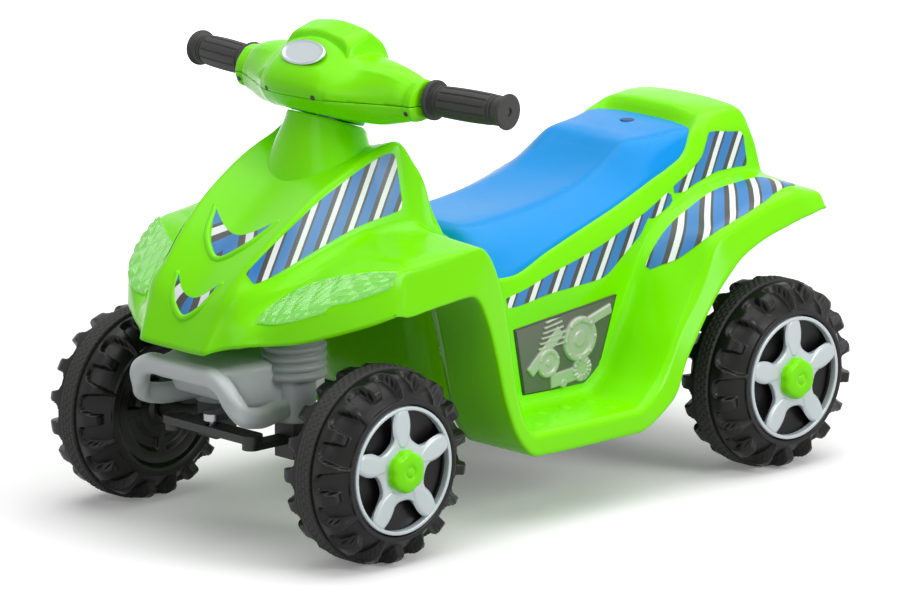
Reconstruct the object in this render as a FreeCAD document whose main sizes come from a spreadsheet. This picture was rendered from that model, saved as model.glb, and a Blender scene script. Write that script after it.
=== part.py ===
import FreeCAD, Part
import math
import os
import re
import Sketcher
from FreeCAD import Placement, Rotation, Vector

# Kids quad bike: front towards -Y, rider's left towards +X, standing on Z = 0. Lengths are in mm.
doc = FreeCAD.newDocument("QuadBike")
sheet = doc.addObject("Spreadsheet::Sheet", "Sizes")

SIZES = {
    # Stance
    "wheelbase": 480,
    "rear_axle_y": 248.5,
    "track": 305.5,
    # Body shell
    "body_half_width": 175,
    "hood_rise": 155,
    "body_wall": 4,
    "lens_thickness": 2,
    "panel_thickness": 2,
    "panel_relief": 2,
    "deck_half_width": 79,
    "deck_nose_half_width": 36,
    "neck_rise": 11,
    "neck_setback": 85,
    "neck_radius": 47,
    "neck_depth": 60,
    "neck_foot_half_width": 73,
    "neck_foot_half_depth": 54,
    "neck_foot_shift": -5,
    "seat_bar_width": 16,
    # Fits
    "running_gap": 0.05,
    "seat_gap": 0.3,
    "joint_gap": 0.6,
    "overrun": 20,
    # Wheels
    "tyre_radius": 86,
    "tyre_width": 70,
    "band_width": 16,
    "band_thickness": 3,
    "carcass_radius": 76,
    "shoulder_radius": 70,
    "shoulder_run": 8,
    "lug_length": 22,
    "lug_width": 13,
    "lug_radius": 84,
    "lug_count": 18,
    "barrel_radius": 52,
    "hub_radius": 14,
    "web_thickness": 7,
    "dish_inset": 4,
    "dish_thickness": 4,
    "trim_radius": 55.5,
    "trim_thickness": 5.5,
    "trim_proud": 1.3,
    "trim_ring": 7,
    "trim_hub_radius": 24,
    "spoke_width": 15,
    "spoke_count": 5,
    "cap_radius": 17.5,
    "cap_height": 12,
    "cap_wall": 3,
    "cap_dimple_radius": 6,
    "cap_dimple_depth": 2,
    "cap_flute_radius": 2.6,
    "cap_flute_count": 10,
    "nut_radius": 9,
    "nut_thickness": 4,
    # Axles and steering
    "axle_radius": 5,
    "bush_wall": 3,
    "kingpin_spread": 100,
    "kingpin_radius": 8,
    "kingpin_length": 58,
    "tube_radius": 19,
    "tube_length": 38,
    "tube_lift": 20.5,
    "bellows_radius": 28.5,
    "bellows_core_radius": 24.5,
    "bellows_wall": 3,
    "bellows_length": 40.5,
    "bellows_ribs": 5,
    "knuckle_width": 24,
    "knuckle_drop": 12,
    "steer_arm_length": 50,
    "steer_arm_width": 16,
    "steer_arm_thickness": 6,
    "steer_arm_drop": 12,
    "tie_pin_radius": 4,
    "tie_rod_width": 20,
    "tie_rod_thickness": 7,
    "column_rake": 19.5,
    "column_radius": 9,
    "column_bush_wall": 4,
    "column_bush_length": 30,
    "column_rise": 46,
    "crank_lift": 4,
    "crank_thickness": 6,
    "crank_width": 16,
    # Bumper
    "bumper_bar_radius": 9,
    "bumper_half_width": 45,
    "bumper_reach": 91,
    "bumper_rise": 18.5,
    "bumper_spread": 64,
    "bumper_knee_reach": 76,
    "bumper_knee_rise": 11.5,
    "bumper_bend": 22,
    "bumper_plate": 7,
    "beam_depth": 85,
    "beam_reach": 60,
    "beam_height": 39,
    "beam_wall": 4,
    # Handlebar
    "bar_radius": 8,
    "bar_rise": 42,
    "bar_setback": 97,
    "bar_sweep": 7,
    "bar_length": 392,
    "cover_lap": 0.5,
    "cover_height": 80,
    "cover_depth": 95,
    "cover_wall": 3,
    "seam_drop": 4,
    "plate_half_width": 32,
    "plate_height": 22,
    "plate_thickness": 1.5,
    "grip_radius": 12.3,
    "grip_flange_radius": 17.5,
    "grip_end_radius": 15.5,
    "grip_flange_width": 5,
    "grip_length": 84.5,
    "grip_groove": 1.5,
    "screw_head_radius": 3.5,
    "screw_head_height": 2.5,
    "screw_radius": 1.6,
    "screw_length": 14,
    "button_radius": 9,
    "button_length": 20,
    "button_travel": 4,
    "button_inset": 44,
    "button_rise": 17,
    "switch_length": 20,
    "switch_height": 15,
    "switch_depth": 20,
    # Seat
    "seat_wall": 4,
    "seat_boss_radius": 9,
    "seat_screw_head_radius": 6,
    "seat_screw_radius": 2.5,
    "seat_screw_length": 40,
    # Chassis and drive
    "pan_lift": 10,
    "pan_setback": 172,
    "pan_thickness": 5,
    "hanger_width": 14,
    "hanger_length": 34,
    "hanger_drop": 13,
    "battery_width": 70,
    "battery_length": 106,
    "battery_height": 70,
    "battery_setback": 250,
    "strap_width": 20,
    "strap_thickness": 2,
    "motor_radius": 16,
    "motor_length": 52,
    "motor_shaft_radius": 2,
    "gear_module": 1,
    "pinion_teeth": 12,
    "wheel_teeth": 45,
    "idler_teeth": 15,
    "output_teeth": 60,
    "gear_width": 7,
    "gear_gap": 1,
    "gear_backlash": 0.25,
    "case_wall": 2,
    "case_clear": 2,
}
for row, (alias, value) in enumerate(SIZES.items(), 1):
    sheet.set(f"A{row}", alias)
    sheet.set(f"B{row}", str(value))
    sheet.setAlias(f"B{row}", alias)
doc.recompute()

# Shapes that follow other sizes are tables of shares. Body tables: X of the body's half width, Y of half the
# wheelbase from its middle, Z of the hood's height.
SIDE_LEAN_SHARE = 0.078
FOOT_LINE_SHARE = 0.188
# Hood: station Y, centre Z, ridge X and Z, valley X and Z, over the crest and down to the bridge
HOOD_SHARES = [
    (-1.400, 0.526, 0.233, 0.532, 0.263, 0.526),
    (-1.325, 0.615, 0.246, 0.635, 0.309, 0.624),
    (-1.250, 0.676, 0.271, 0.709, 0.352, 0.674),
    (-1.125, 0.759, 0.317, 0.791, 0.383, 0.703),
    (-0.979, 0.835, 0.348, 0.869, 0.415, 0.741),
    (-0.812, 0.906, 0.369, 0.933, 0.448, 0.781),
    (-0.667, 0.950, 0.377, 0.976, 0.467, 0.806),
    (-0.588, 0.965, 0.400, 0.998, 0.486, 0.794),
    (-0.480, 0.924, 0.429, 0.932, 0.497, 0.788),
    (-0.442, 0.874, 0.457, 0.885, 0.509, 0.776),
    (-0.415, 0.805, 0.486, 0.810, 0.526, 0.759),
    (-0.385, 0.765, 0.514, 0.750, 0.537, 0.729),
    (-0.325, 0.753, 0.520, 0.695, 0.543, 0.674),
]
HOOD_CREST = 7
HOOD_LOW_SHARE = 0.518
# Front fender: station X, then Y and Z of its low edge, the headlight's foot, crest, crown and rear edge
FENDER_SHARES = [
    (0.300, (-1.354, 0.538), (-1.325, 0.600), (-1.250, 0.670), (-0.833, 0.765), (-0.525, 0.797)),
    (0.411, (-1.317, 0.550), (-1.271, 0.597), (-1.167, 0.665), (-0.833, 0.772), (-0.525, 0.794)),
    (0.480, (-1.283, 0.553), (-1.256, 0.600), (-1.054, 0.688), (-0.833, 0.760), (-0.525, 0.792)),
    (0.543, (-1.250, 0.556), (-1.242, 0.606), (-1.033, 0.700), (-0.833, 0.757), (-0.525, 0.791)),
    (0.674, (-1.187, 0.565), (-1.175, 0.626), (-0.983, 0.722), (-0.833, 0.750), (-0.525, 0.776)),
    (0.783, (-1.092, 0.587), (-1.085, 0.651), (-0.938, 0.732), (-0.825, 0.744), (-0.525, 0.765)),
    (0.863, (-0.983, 0.606), (-0.963, 0.679), (-0.892, 0.734), (-0.792, 0.738), (-0.525, 0.759)),
    (0.914, (-0.892, 0.612), (-0.879, 0.671), (-0.858, 0.726), (-0.750, 0.738), (-0.525, 0.755)),
    (1.060, (-0.640, 0.635), (-0.638, 0.690), (-0.635, 0.736), (-0.600, 0.741), (-0.525, 0.752)),
]
FENDER_HEEL_SHARE = 0.612
# Leg shield, foot board and rear fender in side view: rider's face, then the lip's lower edge
STEP_SHARES = [
    ((-0.525, 0.756), (-0.533, 0.612)),
    ((-0.458, 0.726), (-0.500, 0.560)),
    ((-0.417, 0.659), (-0.475, 0.500)),
    ((-0.379, 0.529), (-0.447, 0.415)),
    ((-0.346, 0.350), (-0.412, 0.320)),
    ((-0.317, 0.285), (-0.367, 0.241)),
    ((-0.258, 0.252), (-0.275, 0.188)),
    ((0.233, 0.252), (0.237, 0.188)),
    ((0.325, 0.282), (0.370, 0.226)),
    ((0.492, 0.459), (0.567, 0.424)),
    ((0.625, 0.565), (0.680, 0.515)),
    ((0.792, 0.635), (0.815, 0.582)),
    ((1.042, 0.697), (1.045, 0.628)),
    ((1.279, 0.706), (1.288, 0.665)),
]
# Tunnel: station Y, wall X, shoulder Z, rim X and Z
TUNNEL_SHARES = [
    (-0.150, 0.543, 0.524, 0.526, 0.594),
    (0.167, 0.543, 0.565, 0.514, 0.635),
    (0.500, 0.543, 0.624, 0.480, 0.697),
    (0.729, 0.491, 0.665, 0.457, 0.744),
    (0.896, 0.469, 0.706, 0.423, 0.797),
    (1.000, 0.446, 0.735, 0.354, 0.865),
]
# Bridge from the hood to the seat: station Y, wall X, shoulder Z, rim X and Z, crown's shoulder X and Z,
# crown Z
BRIDGE_SHARES = [
    (-0.560, 0.543, 0.559, 0.514, 0.682, 0.315, 0.748, 0.770),
    (-0.325, 0.543, 0.600, 0.537, 0.680, 0.270, 0.738, 0.752),
    (-0.200, 0.543, 0.545, 0.530, 0.630, 0.270, 0.710, 0.727),
    (-0.150, 0.543, 0.524, 0.526, 0.594, 0.340, 0.690, 0.722),
]
# Seat: station Y, saddle shoulder X and Z, saddle Z
SEAT_SHARES = [
    (-0.150, 0.340, 0.690, 0.722),
    (0.167, 0.330, 0.688, 0.708),
    (0.500, 0.310, 0.735, 0.748),
    (0.700, 0.330, 0.800, 0.812),
    (0.760, 0.345, 0.853, 0.862),
    (0.896, 0.340, 0.866, 0.874),
    (1.000, 0.320, 0.876, 0.880),
]
# Tail: station Y, foot X and Z, top X and Z
TAIL_SHARES = [
    (1.000, 0.446, 0.690, 0.345, 0.862),
    (1.058, 0.446, 0.695, 0.352, 0.902),
    (1.196, 0.446, 0.706, 0.380, 0.909),
    (1.250, 0.446, 0.715, 0.374, 0.876),
    (1.283, 0.446, 0.722, 0.420, 0.760),
]
# Headlight lens outline in front view: X of the half width, Z of the hood's height
LENS_SHARES = [(0.415, 0.600), (0.425, 0.640), (0.485, 0.676), (0.589, 0.703), (0.714, 0.717), (0.834, 0.725),
               (0.866, 0.716), (0.862, 0.678), (0.735, 0.654), (0.712, 0.634), (0.611, 0.613), (0.500, 0.603)]
# Side panel window on the tunnel wall: Y of half the wheelbase, Z of the hood's height
PANEL_SHARES = [(-0.095, 0.462), (0.430, 0.500), (0.315, 0.275), (-0.035, 0.285)]
# Round covers of the engine relief: Y, Z and radius, in shares as above, the radius of the hood's height
RELIEF_SHARES = [(0.215, 0.412, 0.058), (0.075, 0.372, 0.046), (0.230, 0.325, 0.030)]
# Handlebar cover, from its middle out: station X of its half width, then corners with Y of its depth from the
# bar and Z of its height from the seam
COVER_SHARES = [
    (0.00, ((-0.54, -0.12), (-0.62, 0.26), (-0.45, 0.52), (-0.36, 0.75),
            (0.04, 0.76), (0.26, 0.58), (0.32, -0.36))),
    (0.26, ((-0.50, -0.14), (-0.58, 0.24), (-0.43, 0.50), (-0.34, 0.73),
            (0.04, 0.74), (0.26, 0.56), (0.32, -0.36))),
    (0.40, ((-0.36, -0.20), (-0.50, 0.20), (-0.37, 0.46), (-0.28, 0.69),
            (0.04, 0.70), (0.26, 0.52), (0.30, -0.34))),
    (0.44, ((-0.33, -0.21), (-0.46, 0.18), (-0.35, 0.40), (-0.26, 0.50),
            (0.04, 0.51), (0.25, 0.42), (0.29, -0.32))),
    (0.76, ((-0.20, -0.19), (-0.30, 0.12), (-0.24, 0.33), (-0.14, 0.43),
            (0.05, 0.44), (0.21, 0.30), (0.23, -0.20))),
    (1.00, ((-0.14, -0.18), (-0.21, 0.05), (-0.15, 0.26), (-0.08, 0.32),
            (0.06, 0.32), (0.17, 0.22), (0.18, -0.14))),
]
SCREW_SHARES = [(0.20, -0.30), (0.62, -0.05)]
COVER_DRAW_SHARE = 1.3
BUTTON_REAR_SHARE = 0.20
# Fore and aft ends of the headlight cut and of the deck: Y of half the wheelbase
LENS_CUT_SHARES = (-1.5, -0.86)
DECK_SHARES = (-1.22, -1.38, -0.45)
# Trim window corners: width and height as shares of its outer end
TRIM_CORNER_SHARES = (0.8, 0.9)
TRIM_END_SHARE = 0.5
# Each bellows rib is flat between these shares of its pitch
RIB_SHARES = (0.35, 0.65)
# Grip grooves: start and end in flange widths
GROOVE_SHARES = (1.6, 2.2)
PLATE_SHARES = ((-0.75, -1), (0.75, -1), (1, 0), (0.75, 1), (-0.75, 1), (-1, 0))
SLOT_SHARE = 3
STEM_SHARE = 0.7
IDLER_PIN_SHARE = 0.6
# Spur teeth: depth below and above the pitch circle in modules, points along a flank
TOOTH_ROOT_SHARE = 1.25
TOOTH_TIP_SHARE = 0.9
FLANK_SHARES = (0, 0.35, 0.7, 1)
DECK_LEVEL_SHARE = 37 / 68
PRESSURE_ANGLE = 20
IDLER_ANGLE = 135
MOTOR_ANGLE = 150
STRUT_SIDES = (("left", 1), ("right", -1))
FRONT = "(rear_axle_y - wheelbase)"
REAR = "rear_axle_y"
AXLE = "tyre_radius"
TIE_LOW = "(tyre_radius + tube_lift - steer_arm_drop)"
WHEEL_FACE = "(track / 2 - tyre_width / 2)"
AXLE_END = "(track / 2 + tyre_width / 2 + trim_proud - trim_thickness + nut_thickness)"
parts = []


def size(alias):
    return float(sheet.get(alias))


def tube_low():
    return size("tyre_radius") + size("tube_lift")


def tube_top():
    return tube_low() + size("tube_length")


def deck_height():
    return tube_top() + size("bellows_length")


def hood_height():
    return deck_height() + size("hood_rise")


def neck_height():
    return hood_height() + size("neck_rise")


def bar_height():
    return hood_height() + size("bar_rise")


def seam_height():
    return bar_height() - size("seam_drop")


def bumper_top():
    return tube_top() + size("bumper_rise")


def bumper_knee_height():
    return tube_low() + size("bumper_knee_rise")


def cover_half_width():
    return size("bar_length") / 2 - size("grip_length") + size("cover_lap")


def expression(text):
    """The text with every alias pointed at the sheet."""
    return re.sub(r"[a-z_]+", lambda word: f"Sizes.{word[0]}" if word[0] in SIZES else word[0], text)


def bind(item, links):
    for name, text in links.items():
        item.setExpression(name, expression(text))


def place(item, at, rotation=None):
    """Puts an object at three bound coordinates, turned by a fixed rotation."""
    item.Placement = Placement(Vector(), rotation or Rotation())
    bind(item, {f"Placement.Base.{axis}": text for axis, text in zip("xyz", at)})
    return item


def node(item, label):
    """Lists an object as a sub-part under its name."""
    item.Label = label
    parts.append(item)
    return item


def solid(label, shape):
    return node(add_shape(label, shape), label)


def add_shape(name, shape):
    item = doc.addObject("Part::Feature", name)
    item.Shape = shape
    return item


def cylinder(name, radius, height, at, rotation=None):
    item = doc.addObject("Part::Cylinder", name)
    bind(item, {"Radius": radius, "Height": height})
    return place(item, at, rotation)


def box(name, length, width, height, at):
    item = doc.addObject("Part::Box", name)
    bind(item, {"Length": length, "Width": width, "Height": height})
    return place(item, at)


def fuse(name, items):
    item = doc.addObject("Part::MultiFuse", name)
    item.Shapes = items
    return item


def cut(name, base, tool):
    item = doc.addObject("Part::Cut", name)
    item.Base = base
    item.Tool = tool
    return item


def plane_of(body, role):
    return next(feature for feature in body.Origin.OriginFeatures if feature.Role == role)


def outline(body, role, points):
    """Closed outline on an origin plane of the body, each corner held by two bound distances."""
    sketch = body.newObject("Sketcher::SketchObject", "outline")
    sketch.AttachmentSupport = (plane_of(body, role), [""])
    sketch.MapMode = "FlatFace"
    count = len(points)
    for i in range(count):
        start, end = Vector(i, i * i, 0), Vector(i + 1, (i + 1) ** 2, 0)
        sketch.addGeometry(Part.LineSegment(start, end))
    for i in range(count):
        sketch.addConstraint(Sketcher.Constraint("Coincident", i, 2, (i + 1) % count, 1))
    for i, corner in enumerate(points):
        for kind, text in zip(("DistanceX", "DistanceY"), corner):
            k = sketch.addConstraint(Sketcher.Constraint(kind, -1, 1, i, 1, 1 + i))
            sketch.setExpression(f"Constraints[{k}]", expression(text))
    return sketch


def revolved(label, points, axis="H_Axis"):
    """Body turned from an outline in the XZ plane about the sketch's level or upright axis."""
    body = doc.addObject("PartDesign::Body", label)
    turned(body, points, axis)
    return body


def turned(body, points, axis="H_Axis"):
    """Adds one turned outline to a body."""
    turn = body.newObject("PartDesign::Revolution", "turn")
    turn.Profile = outline(body, "XZ_Plane", points)
    turn.ReferenceAxis = (turn.Profile[0], [axis])
    turn.Angle = 360
    body.Tip = turn


def patterned(body, feature, count):
    """Repeats a feature round the body's X axis."""
    ring = body.newObject("PartDesign::PolarPattern", "ring")
    ring.Originals = [feature]
    ring.Axis = (plane_of(body, "X_Axis"), [""])
    ring.Angle = 360
    bind(ring, {"Occurrences": count})
    body.Tip = ring
    return ring


half_base = size("wheelbase") / 2
mid_y = size("rear_axle_y") - half_base
front_y = mid_y - half_base
wall = size("body_wall")
over = size("overrun")
gap = size("seat_gap")


def body_x(share):
    return share * size("body_half_width")


def body_y(share):
    return mid_y + share * half_base


def body_z(share):
    """Height at a share of the hood's: it follows the deck up to the deck's share, and the hood above."""
    if share < DECK_LEVEL_SHARE:
        return share / DECK_LEVEL_SHARE * deck_height()
    return deck_height() + (share - DECK_LEVEL_SHARE) / (1 - DECK_LEVEL_SHARE) * size("hood_rise")


def face_of(points):
    wire = Part.makePolygon(points + points[:1])
    return Part.Face(wire)


def loft(sections):
    """Ruled solid through closed corner lists."""
    return Part.makeLoft([Part.makePolygon(points + points[:1]) for points in sections], True, True)


def prism(points, way):
    return face_of(points).extrude(way)


def mirrored(shape):
    return shape.mirror(Vector(), Vector(1, 0, 0))


def both(half):
    """A list of (x, z) corners from the rim to the middle, continued to the other side."""
    return half + [(-x, z) for x, z in reversed(half) if x > 0]


def section(y, corners):
    return [Vector(x, y, z) for x, z in corners]


def side_slab(inset):
    """The space between the two leaning outer sides of the body."""
    low, high = -over, hood_height() + over
    foot = body_z(FOOT_LINE_SHARE)
    xs = [size("body_half_width") - inset - SIDE_LEAN_SHARE * (z - foot) for z in (low, high)]
    corners = both([(xs[0], low), (xs[1], high)])
    return prism(section(body_y(-2), corners), Vector(0, 2 * size("wheelbase"), 0))


def hood(inset):
    """Hood between its two ridges and down to the valleys and the bridge, open below when inset."""
    sections = []
    for i, (y, centre, ridge, ridge_z, valley, valley_z) in enumerate(HOOD_SHARES):
        shift = inset if i == 0 else -inset if i >= HOOD_CREST else 0
        low = body_z(HOOD_LOW_SHARE) - (over if inset else 0)
        half = [(body_x(valley) - inset, low), (body_x(valley) - inset, body_z(valley_z) - inset),
                (body_x(ridge) - inset, body_z(ridge_z) - inset), (0, body_z(centre) - inset)]
        sections.append(section(body_y(y) + shift, both(half)))
    return loft(sections)


def fender(inset):
    """Left front fender between the hood and the leaning side, open below when inset."""
    sections = []
    for x, low, foot, crest, crown, rear in FENDER_SHARES:
        drop = over if inset else 0
        corners = [(body_y(low[0]) + inset, body_z(low[1]) - drop),
                   (body_y(foot[0]) + inset, body_z(foot[1])),
                   (body_y(crest[0]) + inset, body_z(crest[1]) - inset),
                   (body_y(crown[0]), body_z(crown[1]) - inset),
                   (body_y(rear[0]) - inset, body_z(rear[1]) - inset),
                   (body_y(rear[0]) - inset, body_z(FENDER_HEEL_SHARE) - drop)]
        sections.append([Vector(body_x(x), y, z) for y, z in corners])
    return loft(sections).common(side_slab(inset))


def step_paths():
    """Rider's face and lip edge of the foot wells in side view, with unit normals towards the wheels."""
    faces = [(body_y(face[0]), body_z(face[1])) for face, _ in STEP_SHARES]
    lips = [(body_y(lip[0]), body_z(lip[1])) for _, lip in STEP_SHARES]
    normals = []
    last = len(faces) - 1
    for i in range(len(faces)):
        (y0, z0), (y1, z1) = faces[max(i - 1, 0)], faces[min(i + 1, last)]
        run = math.hypot(y1 - y0, z1 - z0)
        normals.append(((z1 - z0) / run, -(y1 - y0) / run))
    return faces, lips, normals


def moved(points, normals, distance):
    return [(y + n * distance, z + m * distance) for (y, z), (n, m) in zip(points, normals)]


def step(inset):
    """Leg shields, foot boards and rear fenders as one bent slab across the body, open below when inset."""
    faces, lips, normals = step_paths()
    if inset:
        faces = moved(faces, normals, inset)
        lips = moved(lips, normals, over)
        faces[-1] = (faces[-1][0] - inset, faces[-1][1])
        lips[-1] = (lips[-1][0] - inset, lips[-1][1])
    reach = size("body_half_width") + over
    corners = [Vector(-reach, y, z) for y, z in faces + lips[::-1]]
    return prism(corners, Vector(2 * reach, 0, 0)).common(side_slab(inset))


def tunnel(inset):
    """Tunnel under the seat, flat on top, open below and to the seat when inset."""
    sections = []
    for i, (y, x, shoulder, rim, rim_z) in enumerate(TUNNEL_SHARES):
        ends = over if inset else 0
        shift = ends if i == len(TUNNEL_SHARES) - 1 else 0
        low = body_z(FOOT_LINE_SHARE) - ends
        half = [(body_x(x) - inset, low), (body_x(x) - inset, body_z(shoulder)),
                (body_x(rim) - inset, body_z(rim_z) - inset)]
        sections.append(section(body_y(y) + shift, both(half)))
    return loft(sections)


def bridge(inset):
    """Crowned bridge between the hood's rear wall and the seat's front edge."""
    sections = []
    for y, x, shoulder, rim, rim_z, crown, crown_z, middle in BRIDGE_SHARES:
        low = body_z(FOOT_LINE_SHARE) - (over if inset else 0)
        half = [(body_x(x) - inset, low), (body_x(x) - inset, body_z(shoulder)),
                (body_x(rim) - inset, body_z(rim_z) - inset),
                (body_x(crown) - inset, body_z(crown_z) - inset), (0, body_z(middle) - inset)]
        sections.append(section(body_y(y), both(half)))
    if inset:
        sections.append([point + Vector(0, over, 0) for point in sections[-1]])
    return loft(sections)


def bridge_hollow():
    """Inside of the bridge, behind the wall that the leg shields carry across the middle."""
    faces, _, normals = step_paths()
    last_front = 6
    behind = moved(faces[1:last_front + 1], normals[1:last_front + 1], -wall)
    rear = body_y(TUNNEL_SHARES[0][0]) + 2 * over
    behind = [(behind[0][0], hood_height())] + behind
    behind += [(behind[-1][0], -over), (rear, -over), (rear, hood_height())]
    reach = body_x(1)
    wedge = prism([Vector(-reach, y, z) for y, z in behind], Vector(2 * reach, 0, 0))
    return bridge(wall).common(wedge)


def tail(inset):
    """Tail hump behind the seat, open below and forwards when inset."""
    sections = []
    for i, (y, foot, foot_z, top, top_z) in enumerate(TAIL_SHARES):
        shift = -inset if i == len(TAIL_SHARES) - 1 else 0
        low = body_z(foot_z) - (half_base if inset else 0)
        half = [(body_x(foot) - inset, low), (body_x(foot) - inset, body_z(foot_z)),
                (body_x(top) - inset, body_z(top_z) - inset)]
        sections.append(section(body_y(y) + shift, both(half)))
    return loft(sections)


def above_step():
    """The space on the rider's side of the foot wells' lower edge, across the whole body."""
    _, lips, _ = step_paths()
    top = hood_height() + over
    reach = body_x(1)
    corners = [(lips[0][0], top)] + lips + [(lips[-1][0], top)]
    return prism([Vector(-reach, y, z) for y, z in corners], Vector(2 * reach, 0, 0))


neck_point = Vector(0, front_y + size("neck_setback"), neck_height())
rake = Rotation(Vector(-1, 0, 0), size("column_rake"))
column_way = rake.multVec(Vector(0, 0, 1))


def on_column(distance):
    return neck_point + column_way * distance


def raked_cylinder(radius, start, end):
    return Part.makeCylinder(radius, end - start, on_column(start), column_way)


def oval(half_x, half_y, centre, rotation):
    """Closed oval wire that starts on its X axis."""
    ring = Part.Wire([Part.makeCircle(1)])
    stretch = FreeCAD.Matrix()
    stretch.scale(half_x, half_y, 1)
    ring = ring.transformGeometry(stretch)
    ring.Placement = Placement(centre, rotation)
    return ring


def neck(inset):
    """Neck under the handlebar, from a level oval inside the hood to the raked ring."""
    ring = size("neck_radius") - inset
    top = oval(ring, ring, on_column(-inset), rake)
    foot_y = neck_point.y + size("neck_foot_shift")
    foot_z = neck_height() - size("neck_depth")
    foot = oval(size("neck_foot_half_width") - inset, size("neck_foot_half_depth") - inset,
                Vector(0, foot_y, foot_z), Rotation())
    return Part.makeLoft([foot, top], True, True)


def lens_prism(inset):
    """Left headlight outline carried fore and aft, drawn in by the inset."""
    centre_x = sum(x for x, _ in LENS_SHARES) / len(LENS_SHARES)
    centre_z = sum(z for _, z in LENS_SHARES) / len(LENS_SHARES)
    corners = []
    for x, z in LENS_SHARES:
        dx, dz = body_x(x - centre_x), body_z(z) - body_z(centre_z)
        draw = 1 - inset / math.hypot(dx, dz)
        corners.append((body_x(centre_x) + dx * draw, body_z(centre_z) + dz * draw))
    start, end = (body_y(share) for share in LENS_CUT_SHARES)
    return prism(section(start, corners), Vector(0, end - start, 0))


def panel_prism(inset, depth):
    """Left window of the tunnel wall, from its outer face inwards."""
    centre_y = sum(y for y, _ in PANEL_SHARES) / len(PANEL_SHARES)
    centre_z = sum(z for _, z in PANEL_SHARES) / len(PANEL_SHARES)
    face_x = body_x(TUNNEL_SHARES[0][1])
    corners = []
    for y, z in PANEL_SHARES:
        dy, dz = (y - centre_y) * half_base, body_z(z) - body_z(centre_z)
        draw = 1 - inset / math.hypot(dy, dz)
        corners.append(Vector(face_x - depth, body_y(centre_y) + dy * draw, body_z(centre_z) + dz * draw))
    return prism(corners, Vector(depth, 0, 0))


def seat_screw_place():
    """Middle of the seat's rear flat and the height of its top."""
    y, _, _, top = SEAT_SHARES[-2]
    return body_y(y), body_z(top)


def deck():
    """Level deck under the hood that the struts stand against, from the nose to the leg shields."""
    half, nose = size("deck_half_width"), size("deck_nose_half_width")
    front, tip, rear = (body_y(share) for share in DECK_SHARES)
    corners = [(half, front), (half, rear), (-half, rear), (-half, front), (-nose, front), (-nose, tip),
               (nose, tip), (nose, front)]
    return prism([Vector(x, y, deck_height()) for x, y in corners], Vector(0, 0, wall))


def seat_bar():
    """Crossbar under the seat's rear flat that takes the seat screw."""
    y, top = seat_screw_place()
    half = body_x(TUNNEL_SHARES[-2][3]) - wall / 2
    width = size("seat_bar_width")
    low = top - size("seat_screw_length")
    return Part.makeBox(2 * half, width, 2 * wall, Vector(-half, y - width / 2, low))


def make_body():
    middle = bridge(0).fuse([tunnel(0), tail(0)]).common(above_step())
    outer = hood(0)
    for shape in (fender(0), mirrored(fender(0)), step(0), middle, neck(0)):
        outer = outer.fuse(shape)
    hollow = hood(wall)
    for shape in (fender(wall), mirrored(fender(wall)), step(wall), bridge_hollow(), tunnel(wall), tail(wall),
                  neck(wall)):
        hollow = hollow.fuse(shape)
    shell = outer.cut(hollow)
    shell = shell.fuse(deck()).fuse(seat_bar())
    shell = shell.cut(seat_opening())
    y, top = seat_screw_place()
    screw_hole = Part.makeCylinder(size("seat_screw_radius"), hood_height(), Vector(0, y, top - half_base))
    bush = size("column_radius") + size("running_gap") + size("column_bush_wall")
    shell = shell.cut(screw_hole).cut(raked_cylinder(bush, -size("wheelbase"), over))
    for sign in (1, -1):
        foot = Vector(sign * size("kingpin_spread") / 2, front_y, 0)
        shell = shell.cut(Part.makeCylinder(size("bellows_radius") + gap, deck_height(), foot))
    recess = fender(0).cut(fender(size("lens_thickness") + gap)).common(lens_prism(0))
    shell = shell.cut(recess).cut(mirrored(recess))
    window = panel_prism(0, size("panel_thickness"))
    shell = shell.cut(window).cut(mirrored(window))
    solid("body_shell", shell.removeSplitter())


def seat_opening():
    """Opening under the seat that leaves a ledge along the tunnel's rim."""
    ledge = 2 * wall
    sections = []
    for i, (y, _, _, rim, rim_z) in enumerate(TUNNEL_SHARES[:-1]):
        edge = body_x(rim) - ledge
        corners = both([(edge, body_z(rim_z) - ledge), (edge, body_z(rim_z) + over)])
        sections.append(section(body_y(y) + (ledge if i == 0 else 0), corners))
    return loft(sections)


def rim_at(y):
    """The tunnel rim's X and Z shares at a station, on the straight line between its neighbours."""
    for before, after in zip(TUNNEL_SHARES, TUNNEL_SHARES[1:]):
        if before[0] <= y <= after[0]:
            along = (y - before[0]) / (after[0] - before[0])
            return [a + (b - a) * along for a, b in zip(before[3:], after[3:])]


def seat_form(inset):
    """Saddle: a crowned section that rises to the flat behind the rider."""
    sections = []
    last = len(SEAT_SHARES) - 1
    for i, (y, shoulder, shoulder_z, middle) in enumerate(SEAT_SHARES):
        shift = inset + gap if i == 0 else -inset - gap if i == last else 0
        edge, edge_z = rim_at(y)
        low = body_z(edge_z) + gap - (over if inset else 0)
        half = [(body_x(edge) - inset, low), (body_x(edge) - inset, body_z(edge_z) + 2 * gap),
                (body_x(shoulder) - inset, body_z(shoulder_z) - inset), (0, body_z(middle) - inset)]
        sections.append(section(body_y(y) + shift, both(half)))
    return loft(sections)


def make_seat():
    y, top = seat_screw_place()
    low = top - size("seat_screw_length") + 2 * wall + gap
    boss = Part.makeCylinder(size("seat_boss_radius"), top - low, Vector(0, y, low)).common(seat_form(0))
    shape = seat_form(0).cut(seat_form(size("seat_wall"))).fuse(boss)
    shank = size("seat_screw_radius")
    head = size("seat_screw_head_radius")
    depth = size("seat_wall") / 2
    shape = shape.cut(Part.makeCylinder(shank, hood_height(), Vector(0, y, low - gap)))
    shape = shape.cut(Part.makeCylinder(head + gap, over, Vector(0, y, top - depth)))
    solid("seat", shape)
    foot = low - gap - 2 * wall
    screw = Part.makeCylinder(shank, top - depth - foot, Vector(0, y, foot))
    solid("seat_screw", screw.fuse(Part.makeCylinder(head, depth / 2, Vector(0, y, top - depth))))


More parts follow.
